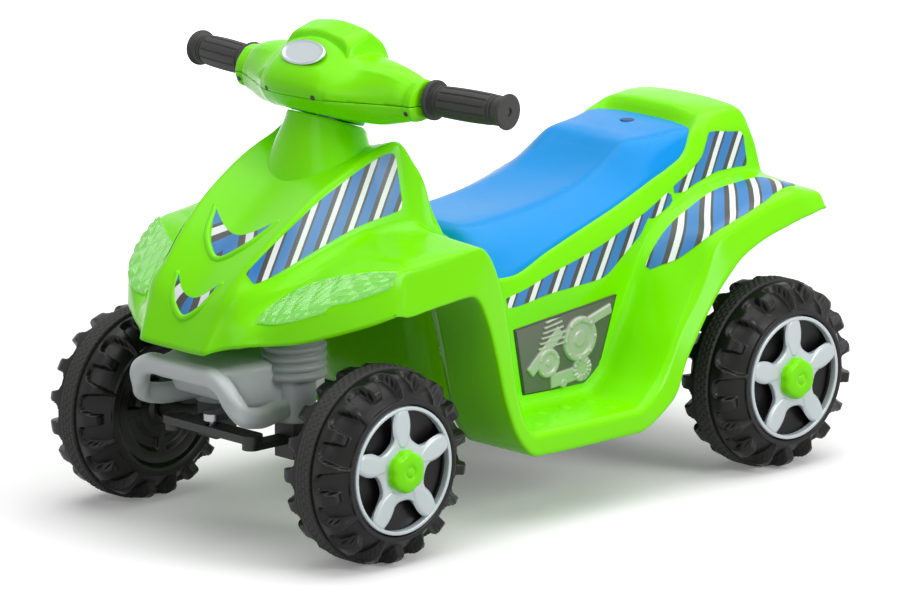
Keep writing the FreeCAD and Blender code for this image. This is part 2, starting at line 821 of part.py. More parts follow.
def make_lenses():
    shape = fender(gap / 2).cut(fender(size("lens_thickness"))).common(lens_prism(gap))
    solid("left_headlight_lens", shape)
    solid("right_headlight_lens", mirrored(shape))


def make_panels():
    shape = panel_prism(gap, size("panel_thickness") - gap)
    shape.translate(Vector(-gap, 0, 0))
    face_x = body_x(TUNNEL_SHARES[0][1])
    for y, z, radius in RELIEF_SHARES:
        at = Vector(face_x - 2 * gap, body_y(y), body_z(z))
        shape = shape.fuse(Part.makeCylinder(body_z(radius), size("panel_relief"), at, Vector(1, 0, 0)))
    solid("left_engine_panel", shape)
    solid("right_engine_panel", mirrored(shape))


def make_wheel(name, x_sign, y):
    """Tyre and dish in one moulding, with its band, trim, cap and nut, turned outwards."""
    rotation = Rotation(Vector(0, 0, 1), 0 if x_sign > 0 else 180)
    at = (f"{x_sign} * track / 2", y, AXLE)
    edge = "tyre_width / 2"
    seat = "(tyre_width / 2 + trim_proud - trim_thickness)"
    band = "(tyre_radius - band_thickness)"
    wheel = revolved(name + "_wheel", [
        (f"-{edge}", "axle_radius + running_gap"), (f"-{edge}", "hub_radius"),
        (f"{seat} - web_thickness", "hub_radius"), (f"{seat} - web_thickness", "barrel_radius"),
        (f"-{edge}", "barrel_radius"), (f"-{edge}", "shoulder_radius"),
        (f"shoulder_run - {edge}", "carcass_radius"), ("-band_width / 2", "carcass_radius"),
        ("-band_width / 2", band), ("band_width / 2", band), ("band_width / 2", "carcass_radius"),
        (f"{edge} - shoulder_run", "carcass_radius"), (edge, "shoulder_radius"),
        (edge, "trim_radius + seat_gap"), (seat, "trim_radius + seat_gap"),
        (seat, "axle_radius + running_gap")])
    dish, sunk = f"dish_inset - {edge}", "dish_thickness / 2"
    turned(wheel, [
        (dish, f"hub_radius - {sunk}"), (f"{dish} + dish_thickness", f"hub_radius - {sunk}"),
        (f"{dish} + dish_thickness", f"barrel_radius + {sunk}"), (dish, f"barrel_radius + {sunk}")])
    root = "(shoulder_radius - shoulder_run / 2)"
    for start, turn in (("band_width / 2 + joint_gap", "0"),
                        ("-band_width / 2 - joint_gap - lug_length", "(180 / lug_count)")):
        lug = wheel.newObject("PartDesign::AdditiveBox", "lug")
        bind(lug, {"Length": "lug_length", "Width": "lug_width", "Height": f"lug_radius - {root}"})
        lug.Placement = Placement(Vector(), Rotation(Vector(1, 0, 0), 1))
        bind(lug, {"Placement.Rotation.Angle": turn, "Placement.Base.x": start,
                   "Placement.Base.y": f"-lug_width / 2 * cos({turn}) - {root} * sin({turn})",
                   "Placement.Base.z": f"-lug_width / 2 * sin({turn}) + {root} * cos({turn})"})
        patterned(wheel, lug, "lug_count")
    ring = revolved(name + "_traction_band", [
        ("-band_width / 2", f"{band} + running_gap"), ("band_width / 2", f"{band} + running_gap"),
        ("band_width / 2", "tyre_radius"), ("-band_width / 2", "tyre_radius")])
    trim = revolved(name + "_rim_trim", [
        (seat, "cap_radius + seat_gap"), (f"{seat} + trim_thickness", "cap_radius + seat_gap"),
        (f"{seat} + trim_thickness", "trim_radius - trim_proud"),
        (f"{seat} + trim_thickness - trim_proud", "trim_radius"), (seat, "trim_radius")])
    window = trim.newObject("PartDesign::Pocket", "window")
    inner, outer = "trim_hub_radius", "(trim_radius - trim_ring)"
    slope = "tan(180 / spoke_count)"
    wide, high = TRIM_CORNER_SHARES
    window.Profile = outline(trim, "YZ_Plane", [
        (f"spoke_width / 2 - {inner} * {slope}", inner), (f"{inner} * {slope} - spoke_width / 2", inner),
        (f"{outer} * {slope} * {wide} - spoke_width / 2", f"{outer} * {high}"),
        (f"{outer} * {slope} * {TRIM_END_SHARE} - spoke_width / 2", outer),
        (f"spoke_width / 2 - {outer} * {slope} * {TRIM_END_SHARE}", outer),
        (f"spoke_width / 2 - {outer} * {slope} * {wide}", f"{outer} * {high}")])
    window.Type = "ThroughAll"
    window.Midplane = True
    patterned(trim, window, "spoke_count")
    cap = revolved(name + "_hub_cap", [
        (seat, "cap_radius"), (f"{seat} + cap_height - cap_wall / 2", "cap_radius"),
        (f"{seat} + cap_height", "cap_radius - cap_wall / 2"),
        (f"{seat} + cap_height", "cap_dimple_radius"),
        (f"{seat} + cap_height - cap_dimple_depth", "cap_dimple_radius"),
        (f"{seat} + cap_height - cap_dimple_depth", "0"),
        (f"{seat} + cap_height - cap_dimple_depth - cap_wall", "0"),
        (f"{seat} + cap_height - cap_dimple_depth - cap_wall", "nut_radius + seat_gap"),
        (seat, "nut_radius + seat_gap")])
    flute = cap.newObject("PartDesign::SubtractiveCylinder", "flute")
    bind(flute, {"Radius": "cap_flute_radius", "Height": "cap_height"})
    flute.Placement = Placement(Vector(), Rotation(Vector(0, 1, 0), 90))
    bind(flute, {"Placement.Base.x": f"{seat} + cap_height / 2",
                 "Placement.Base.z": "cap_radius + cap_flute_radius / 2"})
    patterned(cap, flute, "cap_flute_count")
    nut = revolved(name + "_push_nut", [
        (f"{seat} + seat_gap", "axle_radius"), (f"{seat} + nut_thickness", "axle_radius"),
        (f"{seat} + nut_thickness", "nut_radius - joint_gap"),
        (f"{seat} + seat_gap", "nut_radius - joint_gap")])
    for item, label in ((wheel, "wheel"), (ring, "traction_band"), (trim, "rim_trim"), (cap, "hub_cap"),
                        (nut, "push_nut")):
        node(place(item, at, rotation), f"{name}_{label}")


ALONG_X = Rotation(Vector(0, 1, 0), 90)


def make_strut(side, sign):
    """Tube, bellows and knuckle on one kingpin."""
    x = f"{sign} * kingpin_spread / 2"
    low = f"({AXLE} + tube_lift)"
    tube = cut(f"{side}_tube", cylinder("sleeve", "tube_radius", "tube_length", (x, FRONT, low)),
               cylinder("pin_bore", "kingpin_radius + running_gap", "tube_length", (x, FRONT, low)))
    node(tube, f"{side}_strut_tube")
    top = "bellows_length"
    pitch = f"({top} / bellows_ribs)"
    outside = []
    count = int(size("bellows_ribs"))
    for i in range(count):
        outside.append(("bellows_core_radius", f"{pitch} * {i}"))
        outside += [("bellows_radius", f"{pitch} * ({i} + {share})") for share in RIB_SHARES]
    outside.append(("bellows_core_radius", top))
    bore = "bellows_core_radius - bellows_wall"
    bellows = revolved(f"{side}_strut_bellows", outside + [(bore, top), (bore, "0")], "V_Axis")
    node(place(bellows, (x, FRONT, f"{low} + tube_length")), f"{side}_strut_bellows")
    half = "knuckle_width / 2"
    block_low = f"({AXLE} - knuckle_drop)"
    pin_top = f"({low} - seat_gap)"
    inner = f"{sign} * kingpin_spread / 2" if sign > 0 else f"-{AXLE_END}"
    reach = f"({AXLE_END} - kingpin_spread / 2)"
    arm_z = f"({TIE_LOW} - seat_gap - steer_arm_thickness)"
    arm_y = f"{FRONT} - steer_arm_length"
    pieces = [
        box("block", "knuckle_width", "knuckle_width", f"{pin_top} - {block_low}",
            (f"{x} - {half}", f"{FRONT} - {half}", block_low)),
        cylinder("kingpin", "kingpin_radius", "kingpin_length", (x, FRONT, AXLE)),
        cylinder("stub", "axle_radius", reach, (inner, FRONT, AXLE), ALONG_X),
        cylinder("shoulder", "axle_radius + bush_wall", f"{WHEEL_FACE} - seat_gap - kingpin_spread / 2",
                 (x if sign > 0 else f"seat_gap - {WHEEL_FACE}", FRONT, AXLE), ALONG_X),
        box("arm", "steer_arm_width", "steer_arm_length", "steer_arm_thickness",
            (f"{x} - steer_arm_width / 2", arm_y, arm_z)),
        cylinder("arm_end", "steer_arm_width / 2", "steer_arm_thickness", (x, arm_y, arm_z)),
        cylinder("tie_pin", "tie_pin_radius", "steer_arm_thickness + seat_gap + tie_rod_thickness",
                 (x, arm_y, arm_z)),
    ]
    node(fuse(f"{side}_knuckle", pieces), f"{side}_steering_knuckle")


def make_tie_rod():
    """Flat bar on the two knuckle pins, with a slot for the column's crank."""
    low = TIE_LOW
    y = f"{FRONT} - steer_arm_length"
    bar = box("bar", "kingpin_spread", "tie_rod_width", "tie_rod_thickness",
              ("-kingpin_spread / 2", f"{y} - tie_rod_width / 2", low))
    ends = [cylinder("eye", "tie_rod_width / 2", "tie_rod_thickness",
                     (f"{sign} * kingpin_spread / 2", y, low)) for _, sign in STRUT_SIDES]
    holes = [cylinder("eye_bore", "tie_pin_radius + running_gap", "tie_rod_thickness",
                      (f"{sign} * kingpin_spread / 2", y, low)) for _, sign in STRUT_SIDES]
    slot = box("slot", "2 * tie_pin_radius + 2 * seat_gap", f"{SLOT_SHARE} * tie_pin_radius",
               "tie_rod_thickness",
               ("-tie_pin_radius - seat_gap", f"{y} - {SLOT_SHARE} / 2 * tie_pin_radius", low))
    node(cut("tie", fuse("tie_solid", [bar] + ends), fuse("tie_holes", holes + [slot])), "tie_rod")


def bar_path():
    """Bent handlebar line: a level middle and two ends swept back."""
    sweep = math.radians(size("bar_sweep"))
    y, z = front_y + size("bar_setback"), bar_height()
    half = size("bar_length") / 2
    knee = cover_half_width() / 2
    back = (half - knee) * math.tan(sweep)
    return [Vector(-half, y + back, z), Vector(-knee, y, z), Vector(knee, y, z), Vector(half, y + back, z)]


def rounded_wire(points, bend):
    """Straight runs joined by tangent arcs of one radius."""
    edges = []
    start = points[0]
    for i in range(1, len(points) - 1):
        before = (points[i - 1] - points[i]).normalize()
        after = (points[i + 1] - points[i]).normalize()
        half_turn = (math.pi - before.getAngle(after)) / 2
        trim = bend * math.tan(half_turn)
        first, last = points[i] + before * trim, points[i] + after * trim
        inward = (before + after).normalize()
        middle = points[i] + inward * (bend / math.cos(half_turn) - bend)
        edges += [Part.makeLine(start, first), Part.Arc(first, middle, last).toShape()]
        start = last
    edges.append(Part.makeLine(start, points[-1]))
    return Part.Wire(edges)


def pipe(points, radius, bend):
    path = rounded_wire(points, bend)
    way = points[1] - points[0]
    ring = Part.Wire([Part.makeCircle(radius, points[0], way)])
    return path.makePipeShell([ring], True, False)


def bar_tube(radius):
    return pipe(bar_path(), radius, size("bar_length") / 4)


def make_column():
    """Steering column with its crank and ball, clamped on the handlebar tube."""
    tie_low = tube_low() - size("steer_arm_drop")
    crank_z = tie_low + size("tie_rod_thickness") + size("crank_lift")
    pin_y = front_y - size("steer_arm_length")
    foot = (crank_z - neck_height()) / column_way.z
    shaft = raked_cylinder(size("column_radius"), foot - over, size("column_rise"))
    below = 2 * half_base
    shaft = shaft.cut(Part.makeBox(below, below, crank_z, Vector(-half_base, front_y - half_base, 0)))
    width, thick = size("crank_width"), size("crank_thickness")
    arm = Part.makeBox(width, on_column(foot).y - pin_y, thick, Vector(-width / 2, pin_y, crank_z))
    arm = arm.fuse(Part.makeCylinder(width / 2, thick, Vector(0, pin_y, crank_z)))
    arm = arm.fuse(Part.makeCylinder(width / 2, thick, Vector(0, on_column(foot).y, crank_z)))
    ball_z = tie_low + size("tie_rod_thickness") / 2
    ball = Part.makeSphere(size("tie_pin_radius"), Vector(0, pin_y, ball_z))
    stem = Part.makeCylinder(size("tie_pin_radius") * STEM_SHARE, crank_z - ball_z + thick / 2,
                             Vector(0, pin_y, ball_z))
    column = shaft.fuse([arm, ball, stem]).cut(bar_tube(size("bar_radius")))
    solid("steering_column", column)
    bore = size("column_radius") + size("running_gap")
    outside = bore + size("column_bush_wall")
    length = size("column_bush_length")
    lower_end = (beam_low() - neck_height()) / column_way.z + size("column_bush_wall")
    for label, start in (("column_upper_bush", -length), ("column_lower_bush", lower_end)):
        sleeve = raked_cylinder(outside, start, start + length)
        solid(label, sleeve.cut(raked_cylinder(bore, start, start + length)))


def beam_low():
    return bumper_top() - size("beam_height")


def make_bumper():
    """Carrying loop, its plate and the hollow beam between the strut tubes."""
    top = bumper_top() - size("bumper_bar_radius")
    knee = Vector(size("bumper_spread"), front_y - size("bumper_knee_reach"), bumper_knee_height())
    end = Vector(size("kingpin_spread") / 2, front_y, bumper_knee_height())
    corner = Vector(size("bumper_half_width"), front_y - size("bumper_reach"), top)
    right = [Vector(-point.x, point.y, point.z) for point in (corner, knee, end)]
    shape = pipe([end, knee, corner] + right, size("bumper_bar_radius"), size("bumper_bend"))
    half, depth, height = size("kingpin_spread") / 2, size("beam_depth"), size("beam_height")
    front = front_y - size("beam_reach")
    thick = size("beam_wall")
    beam = Part.makeBox(2 * half, depth, height, Vector(-half, front, beam_low()))
    upper = [edge for edge in beam.Edges if edge.CenterOfMass.z > bumper_top() - thick]
    beam = beam.makeFillet(2 * thick, upper)
    inside = Part.makeBox(2 * (half - thick), depth - 2 * thick, height, Vector(thick - half, front + thick,
                                                                             beam_low() - thick))
    bush = size("column_radius") + size("running_gap") + size("column_bush_wall")
    boss = raked_cylinder(bush + thick, -2 * neck_height(), 0).common(beam)
    plate_front = front_y - size("bumper_reach")
    plate = Part.makeBox(2 * size("bumper_half_width"), front + thick - plate_front, size("bumper_plate"),
                         Vector(-size("bumper_half_width"), plate_front, top - size("bumper_plate") / 2))
    shape = shape.fuse([beam.cut(inside), boss, plate])
    shape = shape.cut(raked_cylinder(bush, -2 * neck_height(), 0))
    for sign in (1, -1):
        foot = Vector(sign * half, front_y, 0)
        rim = Vector(sign * half, front_y, tube_top() - gap)
        shape = shape.cut(Part.makeCylinder(size("tube_radius") + gap, hood_height(), foot))
        shape = shape.cut(Part.makeCylinder(size("bellows_radius") + gap, hood_height(), rim))
    solid("front_bumper", shape)


def cover(inset):
    """Handlebar cover as a ruled skin from collar to collar."""
    y0, z0 = front_y + size("bar_setback"), seam_height()
    half, depth, height = cover_half_width(), size("cover_depth"), size("cover_height")
    rows = [(-x, corners) for x, corners in reversed(COVER_SHARES)] + COVER_SHARES[1:]
    sections = []
    for i, (x, corners) in enumerate(rows):
        shift = inset if i == 0 else -inset if i == len(rows) - 1 else 0
        points = [(y * depth, z * height) for y, z in corners]
        middle_y = sum(y for y, _ in points) / len(points)
        middle_z = sum(z for _, z in points) / len(points)
        drawn = []
        for y, z in points:
            away = math.hypot(y - middle_y, z - middle_z)
            draw = 1 - COVER_DRAW_SHARE * inset / away
            drawn.append(Vector(x * half + shift, y0 + middle_y + (y - middle_y) * draw,
                                z0 + middle_z + (z - middle_z) * draw))
        sections.append(drawn)
    return loft(sections)


def button_place():
    """Centre line of the throttle button and the rider-side end of its travel."""
    rear = front_y + size("bar_setback") + size("cover_depth") * BUTTON_REAR_SHARE
    return Vector(-(cover_half_width() - size("button_inset")), rear, bar_height() + size("button_rise"))


def make_covers():
    """Upper and lower half of the handlebar cover, with the holes for tube, column, button and screws."""
    skin = cover(0).cut(cover(size("cover_wall")))
    skin = skin.cut(bar_tube(size("bar_radius") + gap))
    skin = skin.cut(raked_cylinder(size("column_radius") + size("joint_gap"), -over, size("column_rise")))
    at = button_place()
    hole = Part.makeCylinder(size("button_radius") + gap, 2 * size("button_length"),
                             at - Vector(0, size("button_length"), 0), Vector(0, 1, 0))
    skin = skin.cut(hole)
    reach = size("bar_length")
    low = Vector(-reach / 2, front_y - reach / 2, seam_height() - reach)
    below = Part.makeBox(reach, 2 * reach, reach, low)
    lower, upper = skin.common(below), skin.cut(below)
    screws = []
    holes = []
    for x_share, y_share in SCREW_SHARES:
        for sign in (1, -1):
            x = sign * x_share * cover_half_width()
            y = front_y + size("bar_setback") + y_share * size("cover_depth")
            disc = Part.makeCylinder(size("screw_head_radius"), seam_height(), Vector(x, y, 0))
            under = min(point.z for point in lower.common(disc).tessellate(size("seat_gap") / 2)[0]) - gap
            head = Part.makeCylinder(size("screw_head_radius"), size("screw_head_height"),
                                     Vector(x, y, under - size("screw_head_height") - gap))
            shank = Part.makeCylinder(size("screw_radius"), size("screw_length"),
                                      Vector(x, y, under - 2 * gap))
            screws.append(head.fuse(shank))
            holes.append(Part.makeCylinder(size("screw_radius") + size("running_gap"), size("cover_height"),
                                           Vector(x, y, under - size("cover_height") / 2)))
    for hole in holes:
        lower = lower.cut(hole)
    plate_cut = plate_shape(gap)
    solid("handlebar_lower_cover", lower)
    solid("handlebar_upper_cover", upper.cut(plate_cut))
    solid("cover_screws", Part.makeCompound(screws))
    solid("front_plate", plate_shape(0))


def plate_shape(grow):
    """Blank plate let into the sloping front of the upper cover."""
    corners = COVER_SHARES[0][1]
    depth, height = size("cover_depth"), size("cover_height")
    low = Vector(0, corners[1][0] * depth, corners[1][1] * height)
    high = Vector(0, corners[2][0] * depth, corners[2][1] * height)
    up = (high - low).normalize()
    out = Vector(0, -up.z, up.y)
    middle = (low + high) * 0.5 + Vector(0, front_y + size("bar_setback"), seam_height())
    half, rise = size("plate_half_width") + grow, size("plate_height") / 2 + grow
    thick = size("plate_thickness")
    side = Vector(1, 0, 0)
    start = middle - out * (thick / 2 + grow)
    corners = [start + side * (a * half) + up * (b * rise) for a, b in PLATE_SHARES]
    return prism(corners, out * (thick + grow))


def make_bar():
    solid("handlebar_tube", bar_tube(size("bar_radius")))
    sweep = size("bar_sweep")
    path = bar_path()
    near, far = GROOVE_SHARES
    for side, sign in STRUT_SIDES:
        grip = revolved(f"{side}_grip_body", [
            ("0", "bar_radius + running_gap"), ("0", "grip_flange_radius"),
            ("grip_flange_width", "grip_flange_radius"),
            (f"grip_flange_width * {near}", "grip_radius - grip_groove"),
            (f"grip_flange_width * {far}", "grip_radius"),
            (f"grip_length - grip_flange_width * {far}", "grip_radius"),
            (f"grip_length - grip_flange_width * {near}", "grip_radius - grip_groove"),
            ("grip_length - grip_flange_width", "grip_end_radius"), ("grip_length", "grip_end_radius"),
            ("grip_length", "tie_pin_radius"),
            ("grip_length - grip_flange_width / 2", "tie_pin_radius"),
            ("grip_length - grip_flange_width / 2", "bar_radius + running_gap")])
        node(grip, f"{side}_grip")
        turn = Rotation(Vector(0, 0, 1), sign * sweep + (0 if sign > 0 else 180))
        way = turn.multVec(Vector(1, 0, 0))
        tip = path[-1] if sign > 0 else path[0]
        reach = size("grip_length") - size("grip_flange_width") / 2 - gap
        grip.Placement = Placement(tip - way * reach, turn)


def make_throttle():
    """Push button on the rider's side of the cover and the switch behind it on the tube."""
    at = button_place()
    inner = at - Vector(0, size("button_length") / 2, 0)
    button = Part.makeCylinder(size("button_radius"), size("button_length"), inner, Vector(0, 1, 0))
    button = button.makeFillet(size("button_radius") / 5, [edge for edge in button.Edges
                                                          if edge.BoundBox.YMin > at.y])
    solid("throttle_button", button)
    length, depth, height = size("switch_length"), size("switch_depth"), size("switch_height")
    front = inner.y - size("button_travel") - gap - depth
    low = bar_height() + size("bar_radius") + gap
    solid("throttle_switch", Part.makeBox(length, depth, height, Vector(at.x - length / 2, front, low)))


def make_chassis():
    """Pan under the tunnel with two hangers for the rear axle, the axle and its bushes."""
    low = f"({AXLE} + pan_lift)"
    tail_y = f"({REAR} + hanger_length / 2)"
    start = f"({FRONT} + pan_setback)"
    half = f"(body_half_width * {TUNNEL_SHARES[0][1]} - body_wall - seat_gap)"
    pan = box("pan", f"2 * {half}", f"{tail_y} - {start}", "pan_thickness", (f"-{half}", start, low))
    hanger_low = f"({AXLE} - hanger_drop)"
    hangers, bores, bushes = [], [], []
    for sign in (1, -1):
        x = f"({half} - hanger_width)" if sign > 0 else f"-{half}"
        hangers.append(box("hanger", "hanger_width", "hanger_length", f"{low} - {hanger_low}",
                           (x, f"{REAR} - hanger_length / 2", hanger_low)))
        bores.append(cylinder("bush_bore", "axle_radius + bush_wall", "hanger_width", (x, REAR, AXLE),
                              ALONG_X))
        sleeve = cylinder("bush", "axle_radius + bush_wall", "hanger_width", (x, REAR, AXLE), ALONG_X)
        bore = cylinder("axle_bore", "axle_radius + running_gap", "hanger_width", (x, REAR, AXLE), ALONG_X)
        bushes.append(cut("axle_bush", sleeve, bore))
    node(cut("chassis", fuse("pan_and_hangers", [pan] + hangers), fuse("bores", bores)), "chassis_pan")
    group = doc.addObject("Part::Compound", "bushes")
    group.Links = bushes
    node(group, "axle_bushes")
    node(cylinder("rear_axle", "axle_radius", f"2 * {AXLE_END}", (f"-{AXLE_END}", REAR, AXLE), ALONG_X),
         "rear_axle")
    spacer_start = f"({half} + seat_gap)"
    spacer_length = f"{WHEEL_FACE} - seat_gap - {spacer_start}"
    spacer = cylinder("spacer", "axle_radius + bush_wall", spacer_length, (spacer_start, REAR, AXLE), ALONG_X)
    bore = cylinder("spacer_bore", "axle_radius + running_gap", spacer_length, (spacer_start, REAR, AXLE),
                    ALONG_X)
    node(cut("axle_spacer", spacer, bore), "rear_axle_spacer")
    top = f"({low} + pan_thickness)"
    y = f"({FRONT} + battery_setback)"
    node(box("battery", "battery_width", "battery_length", "battery_height",
             ("-battery_width / 2", y, top)), "battery")
    strap_y = f"({y} + battery_length / 2 - strap_width / 2)"
    outside = box("strap_out", "battery_width + 2 * seat_gap + 2 * strap_thickness", "strap_width",
                  "battery_height + seat_gap + strap_thickness",
                  ("-battery_width / 2 - seat_gap - strap_thickness", strap_y, top))
    inside = box("strap_in", "battery_width + 2 * seat_gap", "strap_width", "battery_height + seat_gap",
                 ("-battery_width / 2 - seat_gap", strap_y, top))
    node(cut("strap", outside, inside), "battery_strap")


def gear_outline(teeth, width_turn):
    """Corners of a spur gear: involute flanks from the base circle, thinned by half the backlash."""
    module = size("gear_module")
    pitch = module * teeth / 2
    pressure = math.radians(PRESSURE_ANGLE)
    base = pitch * math.cos(pressure)
    root, tip = pitch - TOOTH_ROOT_SHARE * module, pitch + TOOTH_TIP_SHARE * module
    half = math.pi / (2 * teeth) - size("gear_backlash") / (2 * pitch)
    flank = math.tan(pressure) - pressure
    rows = []
    for share in FLANK_SHARES:
        radius = max(base, root) + (tip - max(base, root)) * share
        swing = math.acos(min(1, base / radius))
        rows.append((radius, half + flank - (math.tan(swing) - swing)))
    points = []
    for i in range(teeth):
        middle = 2 * math.pi * i / teeth + width_turn
        left = [(root, rows[0][1])] + rows
        for radius, angle in left:
            points.append((radius, middle - angle))
        for radius, angle in reversed(left):
            points.append((radius, middle + angle))
    return [(radius * math.cos(angle), radius * math.sin(angle)) for radius, angle in points]


def gear(teeth, x, y, z, turn):
    corners = [Vector(x, y + a, z + b) for a, b in gear_outline(teeth, turn)]
    return prism(corners, Vector(size("gear_width"), 0, 0))


def along_x(radius, start, end, y, z):
    return Part.makeCylinder(radius, end - start, Vector(start, y, z), Vector(1, 0, 0))


def make_drive():
    """Motor, two-stage spur train and case beside the right rear wheel, which it drives."""
    module, width, space = size("gear_module"), size("gear_width"), size("gear_gap")
    teeth = {name: int(size(name + "_teeth")) for name in ("pinion", "wheel", "idler", "output")}
    axle_y, axle_z = size("rear_axle_y"), size("tyre_radius")
    lift, climb = math.radians(IDLER_ANGLE), math.radians(MOTOR_ANGLE)
    first = module * (teeth["output"] + teeth["idler"]) / 2
    second = module * (teeth["wheel"] + teeth["pinion"]) / 2
    idler = (axle_y + first * math.cos(lift), axle_z + first * math.sin(lift))
    motor = (idler[0] + second * math.cos(climb), idler[1] + second * math.sin(climb))
    skin, clear = size("case_wall"), size("case_clear")
    inner_face = size("track") / 2 - size("tyre_width") / 2
    out_x = -inner_face + clear
    in_x = out_x + 2 * skin + 3 * space + 2 * width
    outer_gear_x = out_x + skin + space
    inner_gear_x = outer_gear_x + width + space
    bore = size("axle_radius") + size("running_gap")
    sleeve = bore + size("bush_wall")
    pin = size("axle_radius") * IDLER_PIN_SHARE
    output = gear(teeth["output"], outer_gear_x, axle_y, axle_z, lift)
    output = output.fuse(along_x(sleeve, -inner_face, outer_gear_x + width, axle_y, axle_z))
    solid("output_gear", output.cut(along_x(bore, -inner_face - over, in_x, axle_y, axle_z)))
    small = gear(teeth["idler"], outer_gear_x, *idler, lift + math.pi + math.pi / teeth["idler"])
    large = gear(teeth["wheel"], inner_gear_x, *idler, climb)
    idler_root = module * (teeth["idler"] / 2 - TOOTH_ROOT_SHARE)
    neck_of_idler = along_x(idler_root, outer_gear_x, inner_gear_x + width, *idler)
    idler_gear = small.fuse([large, neck_of_idler])
    solid("idler_gear", idler_gear.cut(along_x(pin + size("running_gap"), out_x, in_x, *idler)))
    pinion = gear(teeth["pinion"], inner_gear_x, *motor, climb + math.pi + math.pi / teeth["pinion"])
    shaft = size("motor_shaft_radius")
    pinion = pinion.fuse(along_x(shaft, inner_gear_x, in_x + size("motor_length") / 4, *motor))
    solid("motor_pinion", pinion)
    motor_start = in_x + gap
    can = along_x(size("motor_radius"), motor_start, motor_start + size("motor_length"), *motor)
    can = can.cut(along_x(shaft + size("running_gap"), in_x, in_x + size("motor_length") / 4 + gap, *motor))
    solid("motor", can)
    radii = [module * (teeth["output"] + 2) / 2 + clear, module * (teeth["wheel"] + 2) / 2 + clear,
             module * (teeth["pinion"] + 2) / 2 + clear]
    centres = [(axle_y, axle_z), idler, motor]
    outside = case_form(radii, centres, skin, out_x, in_x)
    inside = case_form(radii, centres, 0, out_x + skin, in_x - skin)
    case = outside.cut(inside).fuse(along_x(pin, out_x, in_x, *idler))
    case = case.cut(along_x(sleeve + size("running_gap"), out_x - over, out_x + skin, axle_y, axle_z))
    case = case.cut(along_x(bore - size("running_gap") + gap, out_x, in_x + over, axle_y, axle_z))
    solid("gearbox_case", case.cut(along_x(shaft + gap, in_x - skin, in_x + over, *motor)))


def case_form(radii, centres, skin, start, end):
    """Round housings about the three shafts, run together by tangent webs."""
    form = along_x(radii[0] + skin, start, end, *centres[0])
    for i in range(1, len(centres)):
        (y0, z0), (y1, z1) = centres[i - 1], centres[i]
        run = math.hypot(y1 - y0, z1 - z0)
        lean = math.asin((radii[i - 1] - radii[i]) / run)
        heading = math.atan2(z1 - z0, y1 - y0)
        corners = []
        for side in (1, -1):
            angle = heading + side * (math.pi / 2 - lean)
            ends = [(centres[k][0] + (radii[k] + skin) * math.cos(angle),
                     centres[k][1] + (radii[k] + skin) * math.sin(angle)) for k in (i - 1, i)]
            corners += ends if side > 0 else ends[::-1]
        web = prism([Vector(start, y, z) for y, z in corners], Vector(end - start, 0, 0))
        form = form.fuse([web, along_x(radii[i] + skin, start, end, *centres[i])])
    return form


make_body()
make_seat()
make_lenses()
make_panels()
for wheel_name, wheel_side, wheel_y in (("front_left", 1, FRONT), ("front_right", -1, FRONT),
                                        ("rear_left", 1, REAR), ("rear_right", -1, REAR)):
    make_wheel(wheel_name, wheel_side, wheel_y)
for strut_side, strut_sign in STRUT_SIDES:
    make_strut(strut_side, strut_sign)
make_tie_rod()
make_column()
make_bumper()
make_covers()
make_bar()
make_throttle()
make_chassis()
make_drive()
doc.recompute()

for item in doc.Objects:
    if "Invalid" in item.State or "Error" in item.State:
        raise RuntimeError(f"{item.Label} failed: {item.State}")
for item in parts:
    if item.Shape.isNull() or not item.Shape.isValid():
        raise RuntimeError(f"{item.Label} has no valid shape")
os.makedirs("parts", exist_ok=True)
for item in parts:
    item.Shape.exportStep(os.path.join("parts", item.Label + ".step"))
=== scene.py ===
import math

import bmesh
import bpy
import numpy as np
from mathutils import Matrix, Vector


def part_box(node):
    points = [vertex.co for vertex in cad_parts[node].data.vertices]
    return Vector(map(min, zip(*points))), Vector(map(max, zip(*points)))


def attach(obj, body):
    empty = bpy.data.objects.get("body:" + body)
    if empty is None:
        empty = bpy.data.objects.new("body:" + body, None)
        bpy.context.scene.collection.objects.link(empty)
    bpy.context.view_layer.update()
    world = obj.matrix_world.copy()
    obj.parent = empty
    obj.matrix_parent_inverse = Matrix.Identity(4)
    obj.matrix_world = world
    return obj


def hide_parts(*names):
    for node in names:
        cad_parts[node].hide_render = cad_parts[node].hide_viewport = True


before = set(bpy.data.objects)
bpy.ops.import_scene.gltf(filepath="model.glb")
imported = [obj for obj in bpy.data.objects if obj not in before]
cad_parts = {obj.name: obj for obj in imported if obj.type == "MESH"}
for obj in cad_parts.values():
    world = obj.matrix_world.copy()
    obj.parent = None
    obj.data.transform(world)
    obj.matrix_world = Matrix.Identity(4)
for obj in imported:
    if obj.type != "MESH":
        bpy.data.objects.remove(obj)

bl_info = {
    "name": "Kids quad bike looks",
    "version": (1, 0, 0),
    "blender": (4, 5, 0),
    "location": "View3D > Sidebar > Quad",
    "description": "Dresses the CAD frame of a child's quad bike: body, seat, wheels, bumper and handlebar",
    "category": "Object",
}

MM = 0.001
TAU = 2 * math.pi
WHEELS = ("front_left", "front_right", "rear_left", "rear_right")
SIDES = (("left", 1), ("right", -1))
# Points on a straight run between two rounded corners, and the most of the run that one corner may take
RUN_SHARES = np.array([0.12, 0.5, 0.88])
CORNER_SHARE = 0.48
# Points closer than the first are merged, and edges shorter than the second are dissolved, in metres
MERGED, THIN = 2e-6, 1e-7
# Roughness of a moulding varies by this share either way
GLOSS_SHARE = 0.15
# Wall of the motor panel in mm: x at the height z, its lean and the panel's lift over it
PANEL_X, PANEL_Z, PANEL_LEAN, PANEL_LIFT = 97, 94, 0.0482, 1.6
# Heights in mm over the panel between which its ground turns silver
WIPED_FROM, WIPED_TO = 0.3, 1.6
